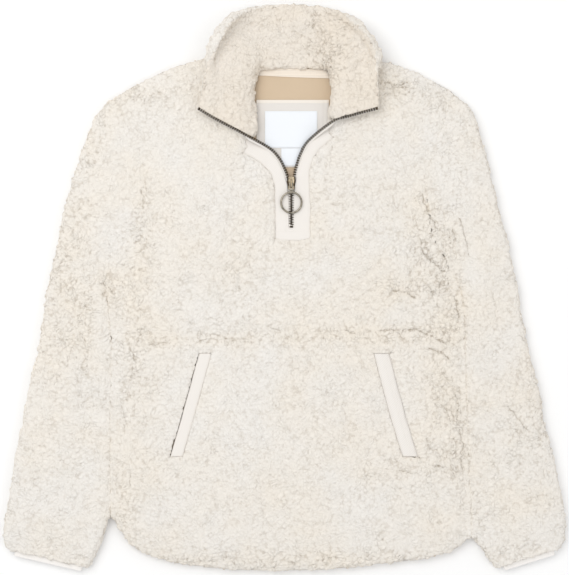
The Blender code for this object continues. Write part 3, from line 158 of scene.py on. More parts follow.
def sherpa_finish(name, crown, root_in_shade):
    """Curled cream pile: pale on the crowns of its curls, brown at their roots, where the knit shows with
    painted shade over it.
    """
    look = Finish(name)
    place = look.place()
    rough, parted, split = look.stored("rough"), look.stored("parted"), look.stored("split")
    edge = look.cells(look.stored("bent", "Vector"), 1.0, "DISTANCE_TO_EDGE")
    wander = look.noise(place, 620.0, 3.0, 0.65)
    broken = look.stretch(look.noise(place, 330.0, 2.0, 0.6), 0.44, 0.60)
    mended = look.stretch(look.noise(place, 210.0, 3.0, 0.65), 0.36, 0.50)
    ragged = look.plus(edge, look.stretch(wander, 0.3, 0.7, -0.05, 0.06))
    line = look.times(look.times(look.stretch(ragged, 0.085, 0.0), broken), parted)
    across = look.reckon("ABSOLUTE", look.stored("split_side"))
    across = look.plus(across, look.stretch(wander, 0.3, 0.7, -0.5, 0.65))
    crack = look.times(look.times(look.stretch(across, 0.70, 0.10), mended), split)
    curls = look.cells(place, 340.0, "SMOOTH_F1")
    fibres = look.noise(place, 1500.0, 3.0, 0.62, 1.4)
    tufts = look.noise(place, 480.0, 3.0, 0.6, 0.9)
    aside = look.add("TexNoise", {"Vector": place, "Scale": 230.0}).outputs["Color"]
    strayed = look.add("VectorMath", {0: aside, "Scale": 0.0032}, operation="SCALE")
    shaken = look.add("VectorMath", {0: place, 1: strayed}, operation="ADD")
    holes = look.cells(shaken, 235.0, "F1")
    some = look.stretch(look.noise(place, 150.0, 2.0, 0.6), 0.40, 0.58)
    some = look.times(some, look.stretch(rough, 0.0, 0.8, 0.30, 1.0))
    pits = look.times(look.stretch(holes, 0.50, 0.72), some)
    tint = look.noise(place, 13.0, 2.0, 0.5)
    patches = look.noise(place, 62.0, 2.0, 0.55)
    # Painted shade: darker in the hollows of the curls, where the tufts are low, at the borders of the clumps
    # and in pits.
    deep = look.stretch(curls, 0.40, 0.80, 0.0, 0.08)
    thin = look.stretch(tufts, 0.62, 0.30, 0.0, 0.12)
    seam = look.stretch(edge, 0.20, 0.0, 0.0, 0.05)
    shallow = look.plus(look.plus(deep, thin), look.plus(seam, look.times(pits, PIT_KNIT_AND_SHADE)))
    # In partings and cracks the knit's colour shows, with painted shade over it.
    roots = look.reckon("MAXIMUM", look.times(line, ROOT_KNIT_AND_SHADE), look.times(crack, CRACK_KNIT_AND_SHADE))
    depth = look.reckon("ADD", shallow, roots, clamp=True)
    warm = toned(crown, 1.004, 0.972, 0.93)
    cool = toned(crown, 0.992, 1.0, 1.022)
    warmth = look.plus(look.stretch(tint, 0.36, 0.64, 0.0, 0.6), look.stretch(rough, 0.15, 0.75, 0.0, 0.5))
    pile = look.blend(warmth, cool, warm)
    pale = look.blend(look.stretch(patches, 0.42, 0.70, 0.0, 0.35), pile, toned(crown, 0.93))
    look.shade(
        Base_Color=look.blend(depth, pale, root_in_shade),
        Roughness=0.92,
        Sheen_Weight=0.35,
        Sheen_Roughness=0.5,
        Sheen_Tint=(1.0, 0.97, 0.92, 1.0),
        Specular_IOR_Level=0.12,
    )
    hollows = look.plus(look.reckon("MAXIMUM", line, crack), look.times(pits, 0.6))
    clump = look.reckon("SUBTRACT", look.stretch(edge, 0.0, 0.30), look.times(hollows, 1.2))
    ground = look.bump(clump, 0.55, 0.0010)
    first = look.bump(look.times(curls, -1.0), 0.50, 0.0010, ground)
    second = look.bump(tufts, 0.45, 0.0008, first)
    look.shade(Normal=look.bump(fibres, 0.40, 0.0004, second))
    return look.material


WALES_A_PITCH = 0.157  # the wave texture's scale for one wale to a pitch
WEFTS_A_PITCH = 0.3
WALE_DEPTH = 0.00016


def twill_finish(name, colour, pitch, slant=45.0):
    """Brushed twill: fine slanting wales, crossed faintly by the weft."""
    look = Finish(name)
    place = look.place()
    turned = look.add("Mapping", {"Vector": place, "Rotation": (0.0, 0.0, math.radians(slant))}).outputs[0]
    wales = look.waves(turned, WALES_A_PITCH / pitch, 0.6, Detail=1.0)
    weft = look.waves(place, WEFTS_A_PITCH / pitch, 0.4, "Y", Detail=1.0)
    fuzz = look.noise(place, 1100.0, 3.0, 0.6)
    soft = look.noise(place, 90.0, 2.0, 0.5)
    shaded = look.blend(look.stretch(wales, 0.1, 0.9, 0.30, 0.0), colour, toned(colour, 0.80))
    worn = look.blend(look.stretch(soft, 0.35, 0.75, 0.0, 0.5), shaded, toned(colour, 0.955))
    look.shade(
        Base_Color=worn,
        Roughness=0.85,
        Sheen_Weight=0.25,
        Sheen_Roughness=0.45,
        Specular_IOR_Level=0.2,
    )
    cloth = look.plus(look.times(wales, 0.7), look.times(weft, 0.3))
    first = look.bump(cloth, 0.5, WALE_DEPTH)
    look.shade(Normal=look.bump(fuzz, 0.3, 0.0002, first))
    return look.material


def satin_label_finish(name, colour):
    """A woven label: close horizontal ribs with a slight gloss."""
    look = Finish(name)
    place = look.place()
    ribs = look.waves(place, 620.0, 0.2, "Y")
    warp = look.waves(place, 900.0, 0.3)
    soft = look.noise(place, 60.0, 2.0, 0.5)
    # Painted shade in the grooves between the ribs.
    shaded_weave = look.blend(look.stretch(ribs, 0.0, 1.0, 0.18, 0.0), colour, toned(colour, 0.86))
    look.shade(
        Base_Color=look.blend(look.stretch(soft, 0.3, 0.7, 0.0, 0.4), shaded_weave, toned(colour, 0.965)),
        Roughness=0.48,
        Sheen_Weight=0.1,
        Specular_IOR_Level=0.4,
    )
    first = look.bump(ribs, 0.4, 0.00008)
    look.shade(Normal=look.bump(warp, 0.3, 0.00005, first))
    return look.material


KNIT_WALE = 0.00115
KNIT_ROW = 0.00095


def knit_finish(name, colour):
    """Plain knit: rows of small V stitches in upright wales."""
    look = Finish(name)
    place = look.place()
    parts = look.add("SeparateXYZ", {"Vector": place})
    wale = look.reckon("PINGPONG", look.times(parts.outputs["X"], 1.0 / KNIT_WALE), 0.5)
    rise = look.times(parts.outputs["Y"], 1.0 / KNIT_ROW)
    leg = look.reckon("FRACT", look.plus(rise, look.times(wale, 1.1)))
    loop = look.reckon("PINGPONG", leg, 0.5)
    gap = look.stretch(wale, 0.0, 0.10, 1.0, 0.0)
    fuzz = look.noise(place, 1300.0, 3.0, 0.6)
    soft = look.noise(place, 45.0, 2.0, 0.5)
    shade = look.plus(look.times(gap, 0.35), look.stretch(loop, 0.0, 0.25, 0.4, 0.0))
    shaded_weave = look.blend(look.reckon("MINIMUM", shade, 1.0), colour, toned(colour, 0.62))
    look.shade(
        Base_Color=look.blend(look.stretch(soft, 0.35, 0.7, 0.0, 0.5), shaded_weave, toned(colour, 0.9)),
        Roughness=0.95,
        Sheen_Weight=0.2,
        Specular_IOR_Level=0.15,
    )
    height = look.reckon("SUBTRACT", loop, look.times(gap, 0.5))
    first = look.bump(height, 0.6, 0.0003)
    look.shade(Normal=look.bump(fuzz, 0.35, 0.0002, first))
    return look.material


def brass_finish(name, bright, oxide, polish):
    """Antique brass: dark with oxide, and rubbed brighter in patches."""
    look = Finish(name)
    place = look.place()
    cloudy = look.noise(place, 320.0, 4.0, 0.65, 0.4)
    fine = look.noise(place, 1700.0, 3.0, 0.6)
    rubbed = look.stretch(look.plus(cloudy, look.times(fine, 0.25)), 0.52, 0.78)
    look.shade(
        Base_Color=look.blend(rubbed, oxide, bright),
        Metallic=1.0,
        Roughness=look.stretch(cloudy, 0.3, 0.7, polish, polish + 0.2),
        Normal=look.bump(fine, 0.2, 0.00012),
    )
    return look.material


def thread_finish(name, colour):
    """Sewing thread with a slight twist."""
    look = Finish(name)
    place = look.place()
    turned = look.add("Mapping", {"Vector": place, "Rotation": (0.0, 0.0, 0.6)}).outputs[0]
    twist = look.waves(turned, 900.0, 0.5)
    look.shade(
        Base_Color=look.blend(look.stretch(twist, 0.0, 1.0, 0.35, 0.0), colour, toned(colour, 0.75)),
        Roughness=0.7,
        Sheen_Weight=0.2,
        Specular_IOR_Level=0.25,
        Normal=look.bump(twist, 0.4, 0.0001),
    )
    return look.material


CREAM = (0.893, 0.858, 0.800)
# The root colour: the tan knit, darkened further by painted shade.
ROOT_KNIT_IN_SHADE = (0.47, 0.395, 0.31)
pile_cream = sherpa_finish("cream sherpa pile", CREAM, ROOT_KNIT_IN_SHADE)
pile_collar = sherpa_finish("cream sherpa pile, collar", (0.862, 0.805, 0.725), ROOT_KNIT_IN_SHADE)
twill_cream = twill_finish("cream brushed twill", (0.872, 0.832, 0.785), 0.0011)
twill_cuff = twill_finish("cream twill of the cuffs", (0.945, 0.915, 0.885), 0.0011)
tape_cream = twill_finish("cream neck tape", (0.90, 0.81, 0.70), 0.0016, 90.0)
binding_cream = twill_finish("cream binding", (0.90, 0.84, 0.765), 0.0009, -45.0)
patch_cream = twill_finish("cream patch twill", (0.80, 0.765, 0.725), 0.0010, -45.0)
label_white = satin_label_finish("white woven label", (0.885, 0.915, 0.955))
knit_tan = knit_finish("tan plain knit", (0.715, 0.565, 0.405))
thread_cream = thread_finish("cream sewing thread", (0.90, 0.86, 0.80))
thread_white = thread_finish("white sewing thread", (0.90, 0.92, 0.95))
brass_dark = brass_finish("dark antique brass", (0.13, 0.097, 0.062), (0.026, 0.020, 0.0145), 0.38)
# A lighter brass for the top of the slider: a painted highlight.
brass_painted_highlight = brass_finish("brass with painted highlight", (0.74, 0.63, 0.46), (0.40, 0.32, 0.21), 0.30)
brass_rubbed = brass_finish("rubbed antique brass", (0.50, 0.455, 0.375), (0.22, 0.198, 0.162), 0.30)


# ---------------------------------------------------------------- uneven pile


def dice(cells, seed):
    """Three steady shares from 0 to 1 for each whole-number cell."""
    n = cells[..., 0] * 374761393 + cells[..., 1] * 668265263 + cells[..., 2] * 1440662683 + seed * 974634777
    n &= 0xFFFFFFFF
    shares = []
    for _ in range(3):
        n = ((n ^ (n >> 15)) * 1274126177) & 0xFFFFFFFF
        n = ((n ^ (n >> 13)) * 1103515245 + 12345) & 0xFFFFFFFF
        shares.append(((n >> 8) & 0xFFFF).astype(np.float32) / np.float32(65535.0))
    return np.stack(shares, axis=-1)


def drift(points, size, seed):
    """Smooth random shifts from about -1 to 1 on three axes, changing over size."""
    spot = points / size
    cell = np.floor(spot).astype(np.int64)
    t = (spot - cell).astype(np.float32)
    t = t * t * (3.0 - 2.0 * t)
    total = np.zeros(points.shape, np.float32)
    for corner in np.ndindex(2, 2, 2):
        corner = np.array(corner)
        weight = np.prod(np.where(corner, t, 1.0 - t), axis=1)
        total += weight[:, None] * (dice(cell + corner, seed) * 2.0 - 1.0)
    return total


def clumps(points, size, seed):
    """Distances to the nearest and second nearest clump centres, in clump sizes."""
    spot = points / size
    cell = np.floor(spot).astype(np.int64)
    first = np.full(len(points), 9.0, np.float32)
    second = first.copy()
    for step in np.ndindex(3, 3, 3):
        near = cell + np.array(step) - 1
        away = np.linalg.norm((near - spot).astype(np.float32) + 0.1 + 0.8 * dice(near, seed), axis=1)
        second = np.minimum(second, np.maximum(first, away))
        first = np.minimum(first, away)
    return first, second


def soft_step(value, low, high):
    share = np.clip((value - low) / (high - low), 0.0, 1.0)
    return share * share * (3.0 - 2.0 * share)


class Rough(NamedTuple):
    """A patch where the pile is more broken, or calmer where amount is negative; in millimetres."""

    x: float
    y: float
    across: float
    along: float
    amount: float


ROUGH_PATCHES = [
    Rough(*row)
    for row in (
        (186, 48, 30, 62, 0.60), (214, -16, 22, 42, 0.52), (147, -4, 36, 16, 0.50), (167, -60, 62, 13, 0.65),
        (199, -131, 26, 60, 0.40), (220, -208, 18, 40, 0.60), (154, -230, 44, 22, 0.30),
        (-192, -86, 20, 64, 0.55), (-184, 61, 16, 58, 0.50), (-226, 4, 14, 20, 0.65), (-51, 10, 22, 40, 0.28),
        (-96, -67, 84, 11, 0.55), (71, -60, 50, 12, 0.45), (58, 298, 34, 32, 0.65), (19, 343, 60, 14, 0.35),
        (-275, 74, 24, 90, 0.35), (-292, -54, 30, 60, 0.30), (-255, -60, 12, 120, 0.25),
        (301, -182, 22, 90, 0.32), (330, -200, 14, 130, 0.25), (19, -348, 235, 13, 0.55),
        (-205, -290, 18, 50, 0.35), (122, 112, 38, 50, 0.12), (-121, 151, 62, 58, -0.22),
        (-70, -131, 60, 70, -0.10), (-205, 125, 12, 60, -0.25), (236, 60, 10, 130, -0.25),
        (100, 180, 50, 36, -0.15), (-130, -190, 30, 60, -0.08), (148, 256, 34, 16, 0.45),
        (196, 236, 24, 20, 0.40), (236, 190, 18, 48, 0.25), (-182, 248, 44, 16, 0.40),
        (-243, 180, 16, 48, 0.30),
    )
]


class Crack(NamedTuple):
    """A long parting of the pile through its points, in millimetres."""

    points: tuple
    width: float
    depth: float


CRACKS = [
    Crack(*row)
    for row in (
        (((177, 119), (179, 109), (182, 100)), 1.5, 1.0), (((183, 97), (191, 84), (188, 71)), 1.4, 0.9),
        (((214, 77), (219, 61)), 1.5, 0.9), (((224, 89), (231, 64), (234, 44)), 1.4, 0.9),
        (((173, 61), (178, 44), (186, 33), (205, 20)), 1.7, 1.2),
        (((196, 52), (203, 40), (201, 28)), 1.4, 0.8), (((186, 0), (190, -16)), 1.4, 0.9),
        (((137, -3), (150, -4), (167, -13)), 1.6, 1.1), (((122, -55), (136, -54), (147, -58)), 1.5, 0.9),
        (((151, -56), (170, -55), (188, -63), (205, -71)), 1.9, 1.3),
        (((183, -77), (199, -82), (209, -91)), 1.8, 1.2), (((218, -14), (222, -26), (223, -40)), 1.8, 1.1),
        (((77, -54), (88, -58)), 1.5, 0.9), (((-109, -68), (-92, -59), (-74, -66)), 1.6, 1.0),
        (((-60, -64), (-47, -66)), 1.5, 0.8), (((-173, -74), (-152, -70)), 1.5, 0.9),
        (((-197, -80), (-190, -96)), 1.5, 0.9), (((218, -137), (222, -154), (221, -168)), 1.5, 0.9),
        (((224, -182), (229, -201), (224, -217), (228, -231)), 1.8, 1.1),
        (((205, -154), (211, -170)), 1.5, 0.9), (((182, -192), (187, -209)), 1.6, 0.9),
        (((147, -233), (161, -236)), 1.5, 0.9), (((188, -226), (200, -229)), 1.5, 0.9),
        (((-198, -233), (-197, -252)), 1.4, 0.8), (((-231, 5), (-221, -4)), 1.6, 1.0),
        (((-184, 125), (-181, 110), (-181, 92)), 1.5, 0.9), (((-190, 46), (-179, 49)), 1.4, 0.8),
        (((284, -150), (298, -167), (309, -181)), 1.5, 0.8), (((300, -60), (310, -69)), 1.4, 0.8),
        (((-22, -49), (-6, -55)), 1.4, 0.8), (((-210, -150), (-203, -170), (-206, -186)), 1.4, 0.7),
        (((-267, -110), (-262, -140)), 1.4, 0.6), (((266, -8), (270, -34)), 1.4, 0.6),
        (((129, 262), (142, 260), (156, 262)), 1.6, 1.1), (((132, 255), (148, 257), (164, 255)), 1.4, 0.8),
        (((127, 248), (140, 250)), 1.4, 0.7), (((-196, 262), (-186, 254)), 1.4, 0.7),
        (((-102, 268), (-98, 258), (-104, 250)), 1.4, 0.7),
    )
]


def beside_line(points, line):
    """Signed distance of each point of the plan from a crooked line."""
    nearest = np.full(len(points), 1e9, np.float32)
    signed = nearest.copy()
    for start, end in zip(line[:-1], line[1:]):
        start = np.array(start, np.float32)
        run = np.array(end, np.float32) - start
        offset = points - start
        along = np.clip((offset @ run) / (run @ run), 0.0, 1.0)
        away = np.linalg.norm(offset - along[:, None] * run, axis=1)
        side = np.sign(run[0] * offset[:, 1] - run[1] * offset[:, 0])
        closer = away < nearest
        nearest = np.where(closer, away, nearest)
        signed = np.where(closer, away * np.where(side == 0.0, 1.0, side), signed)
    return signed


class Pile(NamedTuple):
    """What the pile does at each point: its bent clump coordinates, and how it parts and splits."""

    rough: np.ndarray
    bent: np.ndarray
    parted: np.ndarray
    split: np.ndarray
    split_side: np.ndarray
    gully: np.ndarray
    loose: np.ndarray


def lay_pile(points, up):
    """Works out how the pile lies over a surface."""
    mm = (points / MM).astype(np.float32)
    plan = mm[:, :2]
    wide = drift(mm, 21.0, 3)
    close = drift(mm, 6.5, 5)
    rough = np.full(len(mm), BASE_ROUGH, np.float32)
    for patch in ROUGH_PATCHES:
        away = ((plan[:, 0] - patch.x) / patch.across) ** 2 + ((plan[:, 1] - patch.y) / patch.along) ** 2
        rough += patch.amount * np.exp(-away)
    rough += 0.34 * (1.0 - soft_step(up, 0.30, 0.94))
    rough = np.clip(rough + 0.14 * wide[:, 0], 0.03, 1.0)
    bent = (mm + 2.4 * close + 5.0 * wide) / np.float32(CLUMP / MM)

    opening = drift(mm, 7.5, 7)[:, 1] * 0.5 + 0.5
    parted = soft_step(opening, 0.72 - 0.50 * rough, 1.02 - 0.46 * rough) * (0.35 + 0.65 * rough)

    big_first, big_second = clumps(mm + 5.5 * wide + 3.2 * close, 15.5, 23)
    joined = drift(mm, 15.0, 9)[:, 2] * 0.5 + 0.5
    gully = 1.0 - soft_step(big_second - big_first, 0.0, 0.15)
    gully = gully * soft_step(joined, 0.84 - 0.45 * rough, 1.02 - 0.42 * rough)

    crooked = plan + 2.0 * close[:, :2] + 1.5 * drift(mm, 2.8, 13)[:, :2]
    split = np.zeros(len(mm), np.float32)
    split_side = np.full(len(mm), 9.0, np.float32)
    for crack in CRACKS:
        middle = np.mean(crack.points, axis=0)
        reach = np.max(np.linalg.norm(np.array(crack.points) - middle, axis=1)) + 8.0
        near = np.flatnonzero(np.linalg.norm(plan - middle, axis=1) < reach)
        if len(near) == 0:
            continue
        side = beside_line(crooked[near], crack.points)
        closer = np.abs(side) < np.abs(split_side[near])
        near = near[closer]
        side = side[closer]
        split_side[near] = side / crack.width
        split[near] = crack.depth * (1.0 - soft_step(np.abs(side), crack.width * 1.1, crack.width * 2.2))
    split *= np.clip(up * 1.6, 0.0, 1.0)
    loose = 0.6 * drift(mm, 11.0, 19)[:, 0] * (0.5 + rough) + 0.20 * drift(mm, 2.5, 17)[:, 0]
    return Pile(rough, bent, parted, split, split_side, gully, loose)


def add_attribute(piece, name, values):
    kind = "FLOAT_VECTOR" if values.ndim == 2 else "FLOAT"
    layer = piece.data.attributes.new(name, kind, "POINT")
    layer.data.foreach_set("vector" if values.ndim == 2 else "value", values.astype(np.float32).ravel())


def clump_edges(piece):
    """Distance of each point to the border of its clump, from the same cells that the finish draws."""
    group = bpy.data.node_groups.new("clump edges", "GeometryNodeTree")
    for way in ("INPUT", "OUTPUT"):
        group.interface.new_socket("Geometry", in_out=way, socket_type="NodeSocketGeometry")
    come = group.nodes.new("NodeGroupInput")
    go = group.nodes.new("NodeGroupOutput")
    bent = group.nodes.new("GeometryNodeInputNamedAttribute")
    bent.data_type = "FLOAT_VECTOR"
    bent.inputs["Name"].default_value = "bent"
    cells = group.nodes.new("ShaderNodeTexVoronoi")
    cells.feature = "DISTANCE_TO_EDGE"
    cells.inputs["Scale"].default_value = 1.0
    keep = group.nodes.new("GeometryNodeStoreNamedAttribute")
    keep.data_type = "FLOAT"
    keep.domain = "POINT"
    keep.inputs["Name"].default_value = "clump_edge"
    group.links.new(bent.outputs["Attribute"], cells.inputs["Vector"])
    group.links.new(cells.outputs["Distance"], keep.inputs["Value"])
    group.links.new(come.outputs[0], keep.inputs["Geometry"])
    group.links.new(keep.outputs[0], go.inputs[0])
    apply_modifier(piece, "NODES", node_group=group)
    bpy.data.node_groups.remove(group)
    layer = piece.data.attributes["clump_edge"]
    values = np.empty(len(layer.data), np.float32)
    layer.data.foreach_get("value", values)
    piece.data.attributes.remove(layer)
    return values


def pile_height(pile, edge):
    """Height of the pile over its smooth form."""
    crown = soft_step(edge, 0.0, 0.30)
    parting = (1.0 - soft_step(edge, 0.0, 0.14)) * pile.parted
    width = np.abs(pile.split_side)
    crack = pile.split * (1.0 - soft_step(width, 0.3, 1.15))
    height = (0.30 + 0.55 * pile.rough) * (crown - 0.6) + pile.loose
    height -= (0.5 + 0.9 * pile.rough) * parting + 1.2 * pile.gully + 1.4 * crack
    return height * MM


# ---------------------------------------------------------------- cloth over the solids


def arrays(mesh):
    """The places and the normals of a mesh's points."""
    points = np.empty(len(mesh.vertices) * 3, np.float32)
    mesh.vertices.foreach_get("co", points)
    normals = np.empty(len(mesh.vertices) * 3, np.float32)
    mesh.vertex_normals.foreach_get("vector", normals)
    return points.reshape(-1, 3), normals.reshape(-1, 3)


def face_arrays(mesh):
    """The centres and the normals of a mesh's faces."""
    values = np.empty((2, len(mesh.polygons) * 3), np.float32)
    mesh.polygons.foreach_get("center", values[0])
    mesh.polygons.foreach_get("normal", values[1])
    return values[0].reshape(-1, 3), values[1].reshape(-1, 3)


def put_points(mesh, points):
    mesh.vertices.foreach_set("co", points.astype(np.float32).ravel())
    mesh.update()


def apply_modifier(piece, kind, **settings):
    modifier = piece.modifiers.new(kind.lower(), kind)
    for name, value in settings.items():
        setattr(modifier, name, value)
    bpy.context.view_layer.objects.active = piece
    bpy.ops.object.modifier_apply(modifier=modifier.name)


def even_out(piece, step):
    """Gives a piece even faces over the form that it has."""
    apply_modifier(piece, "REMESH", mode="VOXEL", voxel_size=step, adaptivity=0.0, use_smooth_shade=True)


def round_off(piece, passes):
    apply_modifier(piece, "SMOOTH", factor=0.5, iterations=passes)


def copy_of(node, name):
    """A new piece from a solid's own surface, its loose triangles merged."""
    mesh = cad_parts[node].data.copy()
    mesh.materials.clear()
    piece = bpy.data.objects.new(name, mesh)
    bpy.context.scene.collection.objects.link(piece)
    made = bmesh.new()
    made.from_mesh(mesh)
    bmesh.ops.remove_doubles(made, verts=made.verts, dist=2e-6)
    made.to_mesh(mesh)
    made.free()
    return piece


FLEECE_NODES = ("back", "front_upper", "front_lower")
FLEECE_NODES += ("sleeve_left", "sleeve_right", "collar_outer", "collar_lining")
SEAM_TOP = 0.0150  # height that the pile reaches where two pieces meet
SEAM_RISE = 0.80  # how much of the way there it rises
MINGLE = 0.0014  # how far the pile of two pieces runs into each other at a seam
SEAM_WANDER = 0.0015  # how far that meeting line strays to either side
SEAM_REACH = 0.0100  # how far the pile looks for a neighbour to meet
TRIM_REACH = 0.0110  # how far it looks for a trim to lean over
TRIM_CLEAR = 0.0001  # what it leaves free between itself and a trim
DEEPEST = -0.004  # how far down it may lie under its solid's surface
SHOULDER_GAP = 0.0021  # how far the edges of back and front each go to meet at the shoulder


def tree_of(names):
    """A search tree of these solids, and whose each of its faces is."""
    points = []
    faces = []
    owners = []
    for order, name in enumerate(names):
        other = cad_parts[name].data
        start = len(points)
        points += [vertex.co.copy() for vertex in other.vertices]
        faces += [[start + index for index in polygon.vertices] for polygon in other.polygons]
        owners += [order] * len(other.polygons)
    return BVHTree.FromPolygons(points, faces), np.array(owners)


def room_beside(points, names, reach):
    """How far each point is from the nearest of these solids, up to reach, which way it is, and whose."""
    tree, owners = tree_of(names)
    room = np.full(len(points), reach, np.float32)
    way = np.zeros((len(points), 3), np.float32)
    owner = np.full(len(points), -1)
    for index, point in enumerate(points):
        spot, _, face, away = tree.find_nearest(point, reach)
        if away is not None:
            room[index] = away
            way[index] = (np.array(spot) - point) / max(away, 1e-6)
            owner[index] = owners[face]
    return room, way, owner


HOLLOW_MIDDLE = 0.0079  # between a sleeve's lower and upper layer
HOLLOW_MEETS = 0.00795  # where the two meet once the hollow is closed
HOLLOW_OPEN = 0.030  # how far up from its cuff a sleeve stays hollow


def close_hollow(piece):
    """Closes the flat hollow of a sleeve above its cuff, so that its surface can be worked evenly."""
    made = bmesh.new()
    made.from_mesh(piece.data)
    low_y = min(vertex.co.y for vertex in made.verts)
    inside = set()
    for face in made.faces:
        above = face.calc_center_median().z - HOLLOW_MIDDLE
        if (face.normal.z > 0.5 and above < 0.0) or (face.normal.z < -0.5 and above > 0.0):
            inside.update(face.verts)
    low_y += HOLLOW_OPEN
    chosen = [vertex for vertex in inside if vertex.co.y > low_y and 0.006 < vertex.co.z < 0.0135]
    for vertex in chosen:
        vertex.co.z = HOLLOW_MEETS
    marked = {vertex.index for vertex in chosen}
    layer = made.faces.layers.int.new("hollow")
    for face in made.faces:
        face[layer] = int(all(vertex.index in marked for vertex in face.verts))
    bmesh.ops.remove_doubles(made, verts=chosen, dist=3e-5)
    bmesh.ops.delete(made, geom=[face for face in made.faces if face[layer]], context="FACES")
    made.faces.layers.int.remove(layer)
    made.to_mesh(piece.data)
    made.free()


def take_up(piece):
    """Makes a piece the only one that the next operators work on."""
    if bpy.context.mode != "OBJECT":
        bpy.ops.object.mode_set(mode="OBJECT")
    bpy.ops.object.select_all(action="DESELECT")
    piece.select_set(True)
    bpy.context.view_layer.objects.active = piece


def pick_faces(piece, test):
    """Goes into edit mode with just those faces selected whose centres and normals pass the test."""
    take_up(piece)
    bpy.ops.object.mode_set(mode="EDIT")
    bpy.ops.mesh.select_mode(type="FACE")
    bpy.ops.mesh.select_all(action="DESELECT")
    bpy.ops.object.mode_set(mode="OBJECT")
    piece.data.polygons.foreach_set("select", test(*face_arrays(piece.data)))
    bpy.ops.object.mode_set(mode="EDIT")


def halve_faces(piece, shown):
    """Subdivides the faces of which the upward part of the normal passes the test."""
    pick_faces(piece, lambda centres, normals: shown(normals[:, 2]))
    bpy.ops.mesh.subdivide(number_cuts=1, smoothness=0.6)
    bpy.ops.object.mode_set(mode="OBJECT")
    bpy.ops.object.select_all(action="DESELECT")


def shade_smooth(piece):
    piece.data.polygons.foreach_set("use_smooth", np.ones(len(piece.data.polygons), bool))
    piece.data.update()


PILE_OVER = {"placket": 0.0124, "pocket_welt_left": 0.0139, "pocket_welt_right": 0.0139}  # tops of the trims
SLITS = {
    "pocket_welt_left": ((-112.5, -83.4), (-149.5, -216.4)),
    "pocket_welt_right": ((137.5, -83.4), (174.5, -216.4)),
}
# How far each slit gapes. Below zero, the pile beside it lies that far over the welt.
SLIT_SHOWS = {"pocket_welt_left": 0.0004, "pocket_welt_right": -0.0009}
PLACKET_FEET = ((-10.0, 59.0), (30.0, 59.0))

# The middle of each half chain: x, y and height, from the slider to its upper end.
ZIP_LEFT = [
    (4.9, 137.4, 11.0), (2.7, 144.1, 11.0), (0.5, 150.6, 11.0),
    (-6.5, 164.6, 11.0), (-19.5, 178.6, 12.5), (-49.5, 194.6, 22.5),
    (-70.5, 205.6, 24.0), (-91.5, 216.6, 25.2), (-110.5, 228.1, 27.8),
]
ZIP_RIGHT = [
    (11.4, 137.4, 11.0), (12.3, 144.1, 11.0), (14.5, 154.6, 11.0),
    (20.5, 172.6, 11.0), (31.5, 189.6, 12.5), (62.0, 212.6, 22.5),
    (79.0, 217.6, 24.0), (98.5, 223.1, 25.5), (118.5, 228.1, 27.8),
]


def on_top(points):
    """From 0 below the upper side of the front to 1 on it."""
    return soft_step(points[:, 2], 0.0096, 0.0112)


def facing_up(normals):
    return soft_step(normals[:, 2], -0.35, 0.05)


def hill(x, y, across, along):
    """From 1 at a place in plan down to 0 well away from it; all in millimetres."""
    return np.exp(-((x / across) ** 2) - (y / along) ** 2)


def beyond_slit(points, trim):
    """Which points lie on the other side of a pocket slit from its welt."""
    if trim not in SLITS:
        return np.zeros(len(points), bool)
    low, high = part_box(trim)
    middle = np.array([[(low[0] + high[0]) * 500.0, (low[1] + high[1]) * 500.0]], np.float32)
    welt_side = np.sign(beside_line(middle, SLITS[trim]))[0]
    return beside_line((points[:, :2] / MM).astype(np.float32), SLITS[trim]) * welt_side < 0.0


def lean_over(points, normals):
    """Lets the pile stand a little over the edges of the trims sewn on it, and into the pocket slits."""
    curl = drift(points / MM, 4.2, 101)
    for trim, top in PILE_OVER.items():
        away, way, _ = room_beside(points, [trim], TRIM_REACH)
        level = np.linalg.norm(way[:, :2], axis=1)
        level_away = away * level
        outer = beyond_slit(points, trim)
        upper = facing_up(normals) * on_top(points)
        slit_shows = SLIT_SHOWS.get(trim, 0.0)
        gapes = outer & (slit_shows > 0.0)
        wider = np.where(outer & ~gapes, 0.0030, 0.0)
        rise = upper * (1.0 - soft_step(away - wider, 0.0022, 0.0058)) * (away < 0.0060 + wider)
        target = top + 0.0002 + 0.0005 * (curl[:, 1] * 0.5 + 0.5)
        rise = np.where(gapes, 0.0, rise)
        points[:, 2] += rise * np.maximum(target - points[:, 2], 0.0)
        flat = way[:, :2] / np.maximum(level, 1e-6)[:, None]
        over = (0.0012 + 0.0004 * curl[:, 0]) if trim == "placket" else (0.0007 + 0.0002 * curl[:, 0])
        over = over + 0.6 * level_away
        over = np.where(outer, away - slit_shows - 0.0004 * curl[:, 0], over)
        fades = np.where(outer, soft_step(away - wider, 0.0034, 0.0066), soft_step(away, 0.0016, 0.0042))
        lean = upper * (1.0 - fades) * (away < 0.0070 + wider)
        if trim == "placket":
            for x, y in PLACKET_FEET:
                foot = hill(points[:, 0] / MM - x, points[:, 1] / MM - y, 7.0, 4.5)
                over += foot * (level_away + 0.0012)
                lean = np.maximum(lean, upper * np.minimum(foot * 1.6, 1.0) * (away < 0.0055))
        lean *= np.where(gapes, 1.0, soft_step(points[:, 2], top - 0.0013, top - 0.0004))
        lean *= soft_step(level_away, 0.00002, 0.00018)
        points[:, :2] += flat * (lean * np.maximum(over, 0.0))[:, None]
    return points


# Where each arm of the placket goes in under the collar: the middle of its end, and the way back along it.
ARM_ENDS = [((-51.0, 182.6), (0.885, -0.466)), ((59.0, 201.1), (-0.79, -0.613))]


def cover_ends(points, reach):
    """Draws the pile a little way over the ends of the placket's arms."""
    for (x, y), (dx, dy) in ARM_ENDS:
        away = np.hypot(points[:, 0] / MM - x, points[:, 1] / MM - y)
        share = reach * np.exp(-((away / 9.0) ** 2)) * on_top(points)
        points[:, 0] += dx * share * MM
        points[:, 1] += dy * share * MM
    return points


